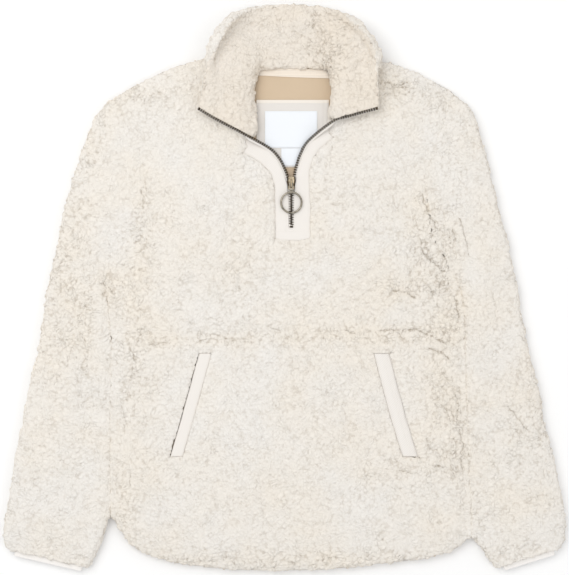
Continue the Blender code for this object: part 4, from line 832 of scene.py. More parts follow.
def meet_zip(points, normals, most):
    """Lets the pile along the zip stand over its edge up to the teeth."""
    upper = facing_up(normals) * soft_step(points[:, 1], 0.176, 0.190)
    for path in (ZIP_LEFT, ZIP_RIGHT):
        stops = np.linspace(0.0, len(path) - 1.0, 240)
        line = [np.interp(stops, range(len(path)), np.array(path)[:, axis]) for axis in range(3)]
        line = np.stack(line, axis=1) * MM
        apart = line[None, :, :2] - points[:, None, :2]
        away = np.sqrt(np.sum(apart * apart, axis=2))
        nearest = np.argmin(away, axis=1)
        away = away[np.arange(len(points)), nearest]
        way = apart[np.arange(len(points)), nearest] / np.maximum(away, 1e-6)[:, None]
        lean = upper * (1.0 - soft_step(away, 0.0062, 0.0120))
        lean = lean * soft_step(points[:, 2] - line[nearest, 2], -0.0018, -0.0004)
        points[:, :2] += way * (lean * np.clip(away - 0.0017, 0.0, most))[:, None]
    return points


def square_neck(points):
    """Draws the lining in around the neck, so that its edge there runs straight."""
    x, y = points[:, 0] / MM, points[:, 1] / MM
    curl = drift(points / MM, 5.0, 103)
    left = (8.7 - 2.6 * soft_step(y, 222.0, 242.0)) * np.exp(-(((x + 44.0) / 12.0) ** 2))
    left = left * (x < -20.0) * (y < 296.0) * soft_step(y, 184.0, 193.0)
    right = 5.4 - 1.8 * soft_step(y, 232.0, 242.0)
    right *= np.exp(-(((x - 66.0) / 12.0) ** 2)) * (x > 40.0) * (y < 296.0) * soft_step(y, 206.0, 220.0)
    above = 3.4 * np.exp(-(((y - 283.0) / 9.0) ** 2)) * (np.abs(x - 11.0) < 62.0)
    above -= 2.6 * hill(np.abs(x - 10.0) - 47.0, y - 281.0, 7.0, 7.0)
    points[:, 0] += (left - right) * (1.0 + 0.15 * curl[:, 0]) * MM
    points[:, 1] -= above * (1.0 + 0.15 * curl[:, 1]) * MM
    points[:, 1] -= 0.52 * left * (1.0 - soft_step(y, 200.0, 216.0)) * MM
    return points


def close_shoulders(moved, points, normals, way):
    """Brings the edges of the back and the front together along the shoulder seams."""
    high = (points[:, 1] > 0.200) & (np.abs(points[:, 0]) > 0.050)
    rim = np.flatnonzero(high & (np.abs(normals[:, 2]) < 0.6))
    tree = KDTree(len(rim))
    for order, index in enumerate(rim):
        tree.insert((points[index, 0], points[index, 1], 0.0), order)
    tree.balance()
    inner = (points[:, 2] > 0.0035) if way > 0.0 else (points[:, 2] < 0.0135)
    for index in np.flatnonzero(high & inner):
        away = tree.find((points[index, 0], points[index, 1], 0.0))[2]
        if away < 0.0080:
            facing = 0.35 + 0.65 * max(0.0, float(normals[index, 2]) * way)
            share = 1.0 - float(soft_step(np.array(away), 0.0030, 0.0080))
            moved[index, 2] += way * SHOULDER_GAP * facing * share
    return moved


def cut_away(piece, chosen):
    """Deletes the faces that have all their corners chosen."""
    made = bmesh.new()
    made.from_mesh(piece.data)
    gone = [face for face in made.faces if all(chosen[vertex.index] for vertex in face.verts)]
    bmesh.ops.delete(made, geom=gone, context="FACES")
    made.to_mesh(piece.data)
    made.free()


class Nap(NamedTuple):
    """By the upward part of a piece's normals: where it is finely divided, piled, and shows its knit."""

    fine: object
    piled: object
    knit: object = None


FRONT_NAP = Nap(lambda up: up > -0.25, lambda up: soft_step(up, -0.75, -0.35), lambda up: up < -0.6)
BACK_NAP = Nap(lambda up: np.abs(up) < 0.75, lambda up: 1.0 - soft_step(up, 0.35, 0.75), lambda up: up > 0.6)
SLEEVE_NAP = Nap(lambda up: up > -0.25, np.ones_like)
COLLAR_NAP = Nap(lambda up: np.ones(len(up), bool), np.ones_like)
ARMHOLE_FROM = -0.012  # a sleeve is open to the body above this
FLOOR_CLEAR = 0.00005
ARM_COVER = 3.4  # how far the pile is drawn over the ends of the placket's arms, in millimetres
MEETS_ZIP = {"collar_lining": 0.0050, "collar_outer": 0.0045}  # how far the pile is drawn to the teeth


def meet_neighbours(node, points, normals, height, split, share):
    """Swells the pile of two fleece pieces that lie side by side until it meets in a wandering line."""
    others = [other for other in FLEECE_NODES if other != node and (node == "back" or other != "back")]
    beside, way, owner = room_beside(points, others, SEAM_REACH)
    trims = [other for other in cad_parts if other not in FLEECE_NODES]
    clear = room_beside(points, trims, 0.0035)[0]
    side = (1.0 - soft_step(np.abs(normals[:, 2]), 0.25, 0.85)) * share * soft_step(clear, 0.0020, 0.0034)
    tufts = drift(points / MM, 5.2, 107)[:, 0] + 0.5 * drift(points / MM, 2.6, 109)[:, 1]
    height += side * (0.0003 + 0.0019 * tufts)
    toward = np.clip(np.sum(normals * way, axis=1), 0.0, 1.0)
    level = np.linalg.norm(way[:, :2], axis=1)
    orders = np.array([FLEECE_NODES.index(other) for other in others] + [0])
    turn = np.where(orders[owner] > FLEECE_NODES.index(node), 1.0, -1.0)
    stray = drift(points / MM, 5.2, 31)[:, 0] + 0.6 * drift(points / MM, 2.3, 37)[:, 0]
    near = 1.0 - soft_step(beside, 0.0022, 0.0060)
    meets = np.sqrt(toward) * level * (1.0 - soft_step(beside, 0.0060, 0.0092))
    meets *= soft_step(normals[:, 2], -0.75, -0.25)
    swell = meets * (beside * 0.5 + MINGLE + near * turn * stray * SEAM_WANDER)
    shallow = np.maximum(height, -0.0002 - 0.0012 * split)
    height = height + (shallow - height) * near * level
    height = np.minimum(height, np.maximum(beside * 0.5, 0.0) + near * level * 0.0006) + swell * share
    height = np.minimum(height, np.maximum(clear - TRIM_CLEAR, 0.0))
    height = np.where(normals[:, 2] < -0.3, np.maximum(height, 0.0), np.maximum(height, DEEPEST))
    moved = points + normals * height[:, None]
    risen = (1.0 - soft_step(beside, 0.0018, 0.0085)) * level
    risen *= soft_step(points[:, 2], 0.0088, 0.0106) * soft_step(normals[:, 2], -0.30, 0.15)
    moved[:, 2] += SEAM_RISE * risen * np.maximum(SEAM_TOP + 0.0004 * stray - moved[:, 2], 0.0)
    return moved, (beside < 0.0022) & (toward > 0.72)


def fleece(node, name, nap, finish=pile_cream, step=PILE_STEP):
    """A fleece piece over its solid: even faces, curled pile on its right side, knit on its wrong side."""
    piece = copy_of(node, name)
    tube = node.startswith("sleeve")
    if tube:
        close_hollow(piece)
    even_out(piece, step)
    halve_faces(piece, nap.fine)
    piece.data.materials.append(finish)
    if nap.knit is not None:
        piece.data.materials.append(knit_tan)
        wrong_side = nap.knit(face_arrays(piece.data)[1][:, 2])
        piece.data.polygons.foreach_set("material_index", wrong_side.astype(np.int32))
    points, normals = arrays(piece.data)
    pile = lay_pile(points, normals[:, 2])
    share = nap.piled(normals[:, 2])
    add_attribute(piece, "bent", pile.bent)
    add_attribute(piece, "rough", pile.rough)
    add_attribute(piece, "parted", np.maximum(pile.parted, 0.8 * pile.gully) * share)
    add_attribute(piece, "split", pile.split * share)
    add_attribute(piece, "split_side", pile.split_side)
    height = pile_height(pile, clump_edges(piece)) * share
    moved, seam = meet_neighbours(node, points, normals, height, pile.split, share)
    if node in ("back", "front_upper"):
        moved = close_shoulders(moved, points, normals, 1.0 if node == "back" else -1.0)
    if node in ("front_upper", "front_lower", "collar_outer"):
        moved = cover_ends(lean_over(moved, normals), ARM_COVER)
    if node == "collar_lining":
        moved = square_neck(moved)
    if node in MEETS_ZIP:
        moved = meet_zip(moved, normals, MEETS_ZIP[node])
    moved[:, 2] = np.maximum(moved[:, 2], FLOOR_CLEAR)
    put_points(piece.data, moved)
    if tube:
        cut_away(piece, seam & (points[:, 1] > ARMHOLE_FROM))
    shade_smooth(piece)
    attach(piece, "garment")
    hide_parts(node)


fleece("front_upper", "front_yoke", FRONT_NAP)
fleece("front_lower", "lower_front", FRONT_NAP)
fleece("back", "back_panel", BACK_NAP, step=BACK_STEP)
fleece("sleeve_left", "left_sleeve", SLEEVE_NAP)
fleece("sleeve_right", "right_sleeve", SLEEVE_NAP)
fleece("collar_outer", "collar_shell", COLLAR_NAP)
fleece("collar_lining", "collar_inside", COLLAR_NAP, finish=pile_collar)


# ---------------------------------------------------------------- hand tools


def put_down(piece, name, finish, slot, *nodes, body="garment"):
    """Names a finished piece, gives it its finish and body, and hides the solids that it stands for."""
    if bpy.context.mode != "OBJECT":
        bpy.ops.object.mode_set(mode="OBJECT")
    bpy.ops.object.select_all(action="DESELECT")
    piece.name = name
    piece.data.materials.clear()
    piece.data.materials.append(finish)
    shade_smooth(piece)
    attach(piece, body)
    if nodes:
        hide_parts(*nodes)


def join_into(piece, other):
    """Joins another piece into this one."""
    take_up(piece)
    other.select_set(True)
    bpy.ops.object.join()


def joined(shape, spots, name):
    """One mesh of many copies of a small shape: each spot is a place and its three directions."""
    points, _ = arrays(shape.data)
    corners = [list(face.vertices) for face in shape.data.polygons]
    all_points = []
    all_faces = []
    for index, (place, along, side, up) in enumerate(spots):
        turn = np.stack([along, side, up], axis=1)
        all_points.append(points @ turn.T + place)
        start = index * len(points)
        all_faces += [[start + corner for corner in face] for face in corners]
    mesh = bpy.data.meshes.new(name)
    mesh.from_pydata(np.concatenate(all_points).tolist(), [], all_faces)
    piece = bpy.data.objects.new(name, mesh)
    bpy.context.scene.collection.objects.link(piece)
    bpy.data.objects.remove(shape, do_unlink=True)
    return piece


def smooth_through(points, steps):
    """Points of a smooth curve through the given ones."""
    points = np.array(points, float)
    padded = np.concatenate([[2 * points[0] - points[1]], points, [2 * points[-1] - points[-2]]])
    curve = []
    for place in np.linspace(0.0, len(points) - 1, steps):
        index = min(int(place), len(points) - 2)
        t = place - index
        a, b, c, d = padded[index : index + 4]
        bend, twist = 2 * a - 5 * b + 4 * c - d, 3 * b - a - 3 * c + d
        curve.append(0.5 * (2 * b + (c - a) * t + bend * t**2 + twist * t**3))
    return np.array(curve)


def walk(path, pitch, end=0.0):
    """Places along a path one pitch apart, up to a stretch at its end, each with the direction there."""
    path = np.array(path, float)
    reach = np.concatenate([[0.0], np.cumsum(np.linalg.norm(np.diff(path, axis=0), axis=1))])
    length = reach[-1] - end
    count = max(1, int(round(length / pitch)))

    def places(stops):
        return np.stack([np.interp(stops, reach, path[:, axis]) for axis in range(path.shape[1])], axis=1)

    stops = (np.arange(count) + 0.5) * length / count
    runs = places(stops + 0.0004) - places(stops - 0.0004)
    return places(stops), runs / np.linalg.norm(runs, axis=1)[:, None]


def shifted(path, sideways):
    """A path in plan moved to its left by a distance."""
    path = np.array(path, float)
    run = np.gradient(path, axis=0)
    run /= np.linalg.norm(run, axis=1)[:, None]
    return path + np.stack([-run[:, 1], run[:, 0]], axis=1) * sideways


# ---------------------------------------------------------------- woven trims

BACK_TOP = 0.0068
PATCH_TOP = 0.0078


def flat_trim(name, node, finish, slot, steps, place, wall):
    """A thin woven piece: a level grid laid out by place, then given its wall and its softened edges."""
    bpy.ops.object.select_all(action="DESELECT")
    bpy.ops.mesh.primitive_grid_add(x_subdivisions=steps[0], y_subdivisions=steps[1], size=1.0)
    piece = bpy.context.active_object
    points, _ = arrays(piece.data)
    put_points(piece.data, place(points[:, 0] + 0.5, points[:, 1] + 0.5))
    apply_modifier(piece, "SOLIDIFY", thickness=wall, offset=1.0)
    apply_modifier(piece, "BEVEL", width=wall * 0.36, segments=2, limit_method="ANGLE", angle_limit=0.9)
    put_down(piece, name, finish, slot, node)
    return piece


def oblong(low, high, base, lift):
    """Lays a grid out as an oblong whose surface rises by lift, in millimetres."""

    def place(u, v):
        x = low[0] + u * (high[0] - low[0])
        y = low[1] + v * (high[1] - low[1])
        plan = np.stack([x, y, np.zeros_like(x)], axis=1) * 1000.0
        return np.stack([x, y, base + lift(plan) * MM], axis=1)

    return place


def label_lift(plan):
    """Soft puckers of the label."""
    soft = drift(plan, 17.0, 41)[:, 0] * 0.5 + 0.5
    fine = drift(plan, 5.5, 43)[:, 1] * 0.5 + 0.5
    return 0.02 + 0.34 * soft + 0.07 * fine


def patch_lift(plan):
    """The patch lies flat under its label and puckers upright at both its sides."""
    aside = np.maximum(-28.0 - plan[:, 0], plan[:, 0] - 44.0)
    free = soft_step(aside, 0.0, 7.0)
    folds = 0.5 + 0.5 * np.sin(plan[:, 0] * 0.95 + 1.7 * drift(plan, 16.0, 47)[:, 0])
    above = soft_step(plan[:, 1], 229.5, 233.0)
    hem = soft_step(plan[:, 1], 236.9, 237.5)
    return 0.10 * np.maximum(free, above) + 0.42 * free * folds + 0.30 * hem


def tape_place(u, v):
    """The neck tape follows the back neck, a little lower on the right, and turns up against the seam."""
    x = -0.039 + u * 0.0995
    y = 0.2728 - 0.0042 * u - 0.0006 * np.sin(np.pi * u) + v * (0.0095 + 0.0026 * u)
    ribs = 0.00008 * (1.0 + np.sin(x * 2300.0))
    return np.stack([x, y, BACK_TOP + 0.0018 * v**2 + ribs], axis=1)


neck_patch = flat_trim(
    "neck_patch", "label_patch", patch_cream, "cream_twill", (94, 88),
    oblong((-0.0365, 0.1546), (0.0565, 0.2411), BACK_TOP, patch_lift),
    0.0007,
)
neck_patch.data.materials.append(binding_cream)
for face in neck_patch.data.polygons:
    if face.center.y > 0.2371:
        face.material_index = 1
woven_label = flat_trim(
    "woven_label", "label", label_white, "white_woven", (68, 48),
    oblong((-0.0255, 0.1796), (0.0415, 0.2266), PATCH_TOP, label_lift),
    0.0005,
)
flat_trim(
    "little_tab", "size_tab", label_white, "white_woven", (40, 34),
    oblong((-0.0045, 0.1566), (0.0215, 0.1790), PATCH_TOP, label_lift),
    0.0004,
)
neck_binding = flat_trim(
    "neck_binding", "neck_tape", tape_cream, "cream_twill", (120, 10),
    tape_place, 0.0007,
)
for side, low, high in (
    ("left", (-0.1675, -0.2664), (-0.0075, -0.0654)),
    ("right", (0.0325, -0.2664), (0.1925, -0.0654)),
):
    flat_trim(
        "pocket_lining_" + side, "pocket_bag_" + side, knit_tan, "tan_knit", (40, 50),
        oblong(low, high, BACK_TOP, lambda plan: 0.05 + 0.05 * drift(plan, 26.0, 53)[:, 0]),
        0.0007,
    )


def sewn_trim(name, node, finish, step, passes, relief):
    """A folded woven piece over its solid: its folds rounded off, and its rows and puckers raised."""
    piece = copy_of(node, name)
    even_out(piece, step)
    round_off(piece, passes)
    points, normals = arrays(piece.data)
    height = relief(points * 1000.0, np.clip(normals[:, 2], 0.0, 1.0)) * MM
    put_points(piece.data, points + normals * height[:, None])
    put_down(piece, name, finish, "cream_twill", node)
    return piece


# The edges of the placket and of its opening, and how far in from each its stitches run.
PLACKET_LEFT = [(-13.5, 59.6), (-13.9, 95.0), (-14.5, 130.6), (-18.5, 145.6)]
PLACKET_LEFT += [(-29.5, 157.6), (-42.5, 166.6), (-56.5, 172.6)]
PLACKET_RIGHT = [(33.5, 59.6), (33.0, 95.0), (32.5, 130.6), (32.5, 150.6)]
PLACKET_RIGHT += [(37.5, 166.6), (46.5, 178.6), (64.5, 192.6)]
OPENING_LEFT = [(7.8, 75.6), (7.4, 103.0), (7.0, 130.6), (0.5, 150.6)]
OPENING_LEFT += [(-6.5, 164.6), (-19.5, 178.6), (-45.5, 192.6)]
OPENING_RIGHT = [(8.6, 75.6), (9.0, 103.0), (9.4, 130.6), (14.5, 154.6)]
OPENING_RIGHT += [(20.5, 172.6), (31.5, 189.6), (53.5, 209.6)]
PLACKET_ROWS = ((PLACKET_LEFT, -2.4), (PLACKET_RIGHT, 2.4), (OPENING_LEFT, 5.6), (OPENING_RIGHT, -5.6))


def placket_relief(plan, up):
    """Topstitched valleys along both edges of the placket, with soft puckers between the stitches."""
    total = np.zeros(len(plan), np.float32)
    pucker = 0.6 + 0.4 * drift(plan, 3.1, 61)[:, 0]
    for line, away in PLACKET_ROWS:
        aside = np.abs(np.abs(beside_line(plan[:, :2].astype(np.float32), line)) - abs(away))
        total -= 0.30 * pucker * np.exp(-((aside / 0.8) ** 2))
    soft = 0.22 * drift(plan, 11.0, 67)[:, 0] + 0.10 * drift(plan, 4.0, 71)[:, 1]
    return (total + soft) * up


def welt_relief(slit, width, rows, depth):
    """A welt's rows of stitching, parallel to its slit, and its slight rolls."""

    def relief(plan, up):
        aside = np.abs(beside_line(plan[:, :2].astype(np.float32), slit))
        total = 0.25 * drift(plan, 13.0, 73)[:, 0] + 0.08 * drift(plan, 4.5, 79)[:, 1]
        for row in rows:
            valley = np.exp(-(((aside - row) / 0.75) ** 2))
            total -= depth * (0.75 + 0.25 * drift(plan, 6.0, 83)[:, 0]) * valley
        edge = soft_step(np.minimum(aside, width - aside), 0.0, 2.4)
        return (total - 0.15 * (1.0 - edge)) * up

    return relief


def band_relief(plan, up):
    """Soft upright puckers of a cuff band."""
    puckers = np.sin(plan[:, 0] * 1.3 + 2.0 * drift(plan, 9.0, 89)[:, 0])
    return 0.16 * puckers + 0.08 * drift(plan, 3.0, 97)[:, 0]


def tuck_arms(piece):
    """Moves the ends of the placket's arms on in under the collar."""
    points, _ = arrays(piece.data)
    for (x, y), (dx, dy) in ARM_ENDS:
        along = (points[:, 0] / MM - x) * dx + (points[:, 1] / MM - y) * dy
        near = np.hypot(points[:, 0] / MM - x, points[:, 1] / MM - y) < 16.0
        drawn = 4.0 * (1.0 - soft_step(along, 0.0, 7.0)) * near
        points += np.stack([-dx * drawn, -dy * drawn, -0.12 * drawn], axis=1) * MM
    put_points(piece.data, points)


WELT_ROWS_RIGHT = (4.0, 6.8, 9.6, 12.8)
front_placket = sewn_trim(
    "front_placket", "placket", twill_cream, 0.0011, 3, placket_relief,
)
tuck_arms(front_placket)
welt_on_left = sewn_trim(
    "welt_left", "pocket_welt_left", twill_cream, 0.0010, 4,
    welt_relief(SLITS["pocket_welt_left"], 17.9, (4.2,), 0.20),
)
welt_on_right = sewn_trim(
    "welt_right", "pocket_welt_right", twill_cream, 0.0010, 4,
    welt_relief(SLITS["pocket_welt_right"], 22.9, WELT_ROWS_RIGHT, 0.8),
)
for side, length in (("left", 0.091), ("right", 0.072)):
    sewn_trim(
        "cuff_edge_" + side, "cuff_band_" + side, twill_cuff, 0.0009, 3, band_relief,
    )


# ---------------------------------------------------------------- stitching

STITCH = 0.0021
STITCH_PITCH = 0.0027
THREAD = 0.00021


def stitch_shape():
    """One stitch: a short stretch of thread whose ends dip into the cloth."""
    bpy.ops.object.select_all(action="DESELECT")
    bpy.ops.mesh.primitive_uv_sphere_add(segments=6, ring_count=5, rotation=(0.0, math.pi / 2.0, 0.0))
    piece = bpy.context.active_object
    bpy.ops.object.transform_apply(location=False, rotation=True, scale=False)
    bpy.ops.object.mode_set(mode="EDIT")
    bpy.ops.mesh.select_all(action="SELECT")
    bpy.ops.transform.resize(value=(STITCH / 2.0, THREAD, THREAD))
    bpy.ops.object.mode_set(mode="OBJECT")
    points, _ = arrays(piece.data)
    share = points[:, 0] / (STITCH / 2.0)
    points[:, 1:] *= (1.0 + 0.35 * share**2)[:, None]
    points[:, 2] += THREAD * (0.65 - 1.5 * share**2)
    put_points(piece.data, points)
    return piece


def surface_of(piece):
    """Finds a piece's top and its direction there from a place in plan."""
    made = bmesh.new()
    made.from_mesh(piece.data)
    tree = BVHTree.FromBMesh(made)
    made.free()

    def find(x, y):
        spot, normal, _, _ = tree.ray_cast(Vector((x, y, 0.2)), Vector((0.0, 0.0, -1.0)))
        return spot, normal

    return find


def stitched(name, piece, rows, finish=thread_cream, pitch=STITCH_PITCH):
    """Rows of stitches on the top of a piece, each row a path in plan in millimetres."""
    shape = stitch_shape()
    find = surface_of(piece)
    spots = []
    for row in rows:
        places, runs = walk(np.array(row, float) * MM, pitch)
        for (x, y), run in zip(places, runs):
            spot, normal = find(x, y)
            if spot is None or normal.z < 0.35:
                continue
            up = np.array(normal)
            along = np.array([run[0], run[1], 0.0])
            along -= up * (along @ up)
            along /= np.linalg.norm(along)
            spots.append((np.array(spot), along, np.cross(up, along), up))
    put_down(joined(shape, spots, name), name, finish, "cream_twill")


def box_rows(low, high, inset):
    """The four sides of an oblong, drawn in from its edges."""
    (x0, y0), (x1, y1) = (low[0] + inset, low[1] + inset), (high[0] - inset, high[1] - inset)
    return [[(x0, y0), (x1, y0)], [(x1, y0), (x1, y1)], [(x1, y1), (x0, y1)], [(x0, y1), (x0, y0)]]


def beside_slit(side, way, distances):
    """Rows beside a pocket slit, each at one of these distances from it."""
    return [shifted(SLITS["pocket_welt_" + side], away * way) for away in distances]


def beside_tape(away):
    """A row along the neck tape."""
    return [
        (-37.5 + 96.5 * u, 272.8 - 4.2 * u - 0.6 * math.sin(math.pi * u) + away)
        for u in np.linspace(0.0, 1.0, 24)
    ]


patch_rows = [[(x, 160.0), (x, 236.0)] for x in (-34.9, 54.9)] + [[(-35.5, 236.5), (55.5, 236.5)]]
placket_rows = [shifted(smooth_through(line, 30), away) for line, away in PLACKET_ROWS]
placket_rows += [[(-11.0, y), (31.0, y)] for y in (62.2, 72.5)]
stitched("label_stitches", woven_label, box_rows((-25.5, 179.6), (41.5, 226.6), 1.4), thread_white, 0.0022)
stitched("patch_stitches", neck_patch, patch_rows)
stitched("binding_stitches", neck_binding, [beside_tape(away) for away in (1.6, 7.9)])
stitched("placket_stitches", front_placket, placket_rows)
stitched("welt_stitches_left", welt_on_left, beside_slit("left", 1.0, (4.2, 16.0)))
stitched("welt_stitches_right", welt_on_right, beside_slit("right", -1.0, (*WELT_ROWS_RIGHT, 21.0)))


# ---------------------------------------------------------------- zip

ZIP_MIDDLE_X = 0.0083
TOOTH_PITCH = 0.0031
TOOTH_ALONG = 0.0021
TOOTH_TALL = 0.0023
TOOTH_BODY = 0.0030
TOOTH_NOSE = 0.0009
STOP_LENGTH = 0.0036


def tooth_shape(body, nose, along, tall):
    """One tooth along its own first axis: its body clamps the tape, and its nose meets the other half."""
    bpy.ops.object.select_all(action="DESELECT")
    bpy.ops.mesh.primitive_cube_add(size=1.0)
    piece = bpy.context.active_object
    bpy.ops.object.mode_set(mode="EDIT")
    bpy.ops.mesh.select_all(action="SELECT")
    bpy.ops.transform.resize(value=(body, along, tall))
    pick_faces(piece, lambda centres, normals: normals[:, 0] > 0.9)
    bpy.ops.mesh.extrude_region_move(TRANSFORM_OT_translate={"value": (nose, 0.0, 0.0)})
    bpy.ops.transform.resize(value=(1.0, 0.72, 0.56))
    pick_faces(piece, lambda centres, normals: normals[:, 0] < -0.9)
    bpy.ops.transform.resize(value=(1.0, 0.9, 0.80))
    bpy.ops.mesh.select_all(action="SELECT")
    bpy.ops.mesh.select_mode(type="EDGE")
    bpy.ops.mesh.select_all(action="SELECT")
    bpy.ops.mesh.bevel(offset=along * 0.16, segments=1, affect="EDGES")
    bpy.ops.object.mode_set(mode="OBJECT")
    return piece


def level_frame(place, run, turn):
    """A place with three directions: across towards the other half, along the chain, and up."""
    across_chain = np.array([run[1], -run[0], 0.0]) * turn
    across_chain /= np.linalg.norm(across_chain)
    up = np.cross(across_chain, run * turn) if turn < 0 else np.cross(across_chain, run)
    up *= 1.0 if up[2] > 0.0 else -1.0
    return place, across_chain, np.cross(up, across_chain), up


def chain_piece(name, node, tooth, spots, stop, stop_spot):
    """Teeth at their spots with one stop, as one piece."""
    teeth = joined(tooth, spots, name)
    join_into(teeth, joined(stop, [stop_spot], name + "_stop"))
    put_down(teeth, name, brass_dark, "dark_brass", node)


def half_chain(name, node, path, turn):
    """The open teeth of one side, with the stop at their upper end."""
    curve = smooth_through(path, 160) * MM
    tooth = tooth_shape(TOOTH_BODY, TOOTH_NOSE, TOOTH_ALONG, TOOTH_TALL)
    spots = []
    for place, run in zip(*walk(curve, TOOTH_PITCH, STOP_LENGTH)):
        spot, toward, along, up = level_frame(place, run, turn)
        spots.append((spot - toward * 0.0003, toward, along, up))
    stop = tooth_shape(0.0034, 0.0006, STOP_LENGTH * 0.9, 0.0026)
    run = (curve[-1] - curve[-8]) / np.linalg.norm(curve[-1] - curve[-8])
    stop_spot = level_frame(curve[-1] - run * STOP_LENGTH * 0.5, run, turn)
    chain_piece(name, node, tooth, spots, stop, stop_spot)


def closed_chain():
    """The teeth below the slider, from both sides by turns, with the staple that stops them at the foot."""
    foot, top = 0.0764, 0.1366
    chain_z = 0.0113
    tooth = tooth_shape(0.0034, TOOTH_NOSE, 0.00132, TOOTH_TALL)
    spots = []
    steps = int((top - foot - STOP_LENGTH) / (TOOTH_PITCH / 2.0))
    for index in range(steps):
        turn = 1.0 if index % 2 else -1.0
        y = foot + STOP_LENGTH + (index + 0.6) * TOOTH_PITCH / 2.0
        place = np.array([ZIP_MIDDLE_X - turn * 0.0013, y, chain_z])
        spots.append((place, *np.diag([turn, turn, 1.0])))
    staple = tooth_shape(0.0042, 0.0003, 0.0024, 0.0024)
    stop_spot = (np.array([ZIP_MIDDLE_X - 0.00015, foot + 0.0018, chain_z]), *np.eye(3))
    chain_piece("closed_teeth", "zip_teeth_closed", tooth, spots, staple, stop_spot)


def zip_tape(name, path, outer, inner, turn, level):
    """A strip of zip tape under the teeth."""
    curve = smooth_through(path, 110) * MM
    run = np.gradient(curve, axis=0)
    run /= np.linalg.norm(run, axis=1)[:, None]
    toward = np.stack([run[:, 1], -run[:, 0], np.zeros(len(run))], axis=1) * turn
    toward /= np.linalg.norm(toward, axis=1)[:, None]
    columns = 9
    bpy.ops.object.select_all(action="DESELECT")
    bpy.ops.mesh.primitive_grid_add(x_subdivisions=len(curve) - 1, y_subdivisions=columns - 1, size=1.0)
    piece = bpy.context.active_object
    points, _ = arrays(piece.data)
    along = np.rint((points[:, 0] + 0.5) * (len(curve) - 1)).astype(int)
    share = (points[:, 1] + 0.5) if turn > 0 else (0.5 - points[:, 1])
    drawn_in = max(0.0, -0.0019 - outer) * soft_step(curve[along][:, 2], 0.0212, 0.0228)
    aside = outer + drawn_in + share * (inner - outer - drawn_in)
    laid = curve[along] + toward[along] * aside[:, None] + np.array([0.0, 0.0, level])
    laid[:, 2] += 0.00006 * np.sin(along * 1.9)
    put_points(piece.data, laid)
    apply_modifier(piece, "SOLIDIFY", thickness=0.0006, offset=0.0)
    take_up(piece)
    bpy.ops.object.mode_set(mode="EDIT")
    bpy.ops.mesh.select_all(action="SELECT")
    bpy.ops.mesh.normals_make_consistent(inside=False)
    put_down(piece, name, twill_cream, "cream_twill")


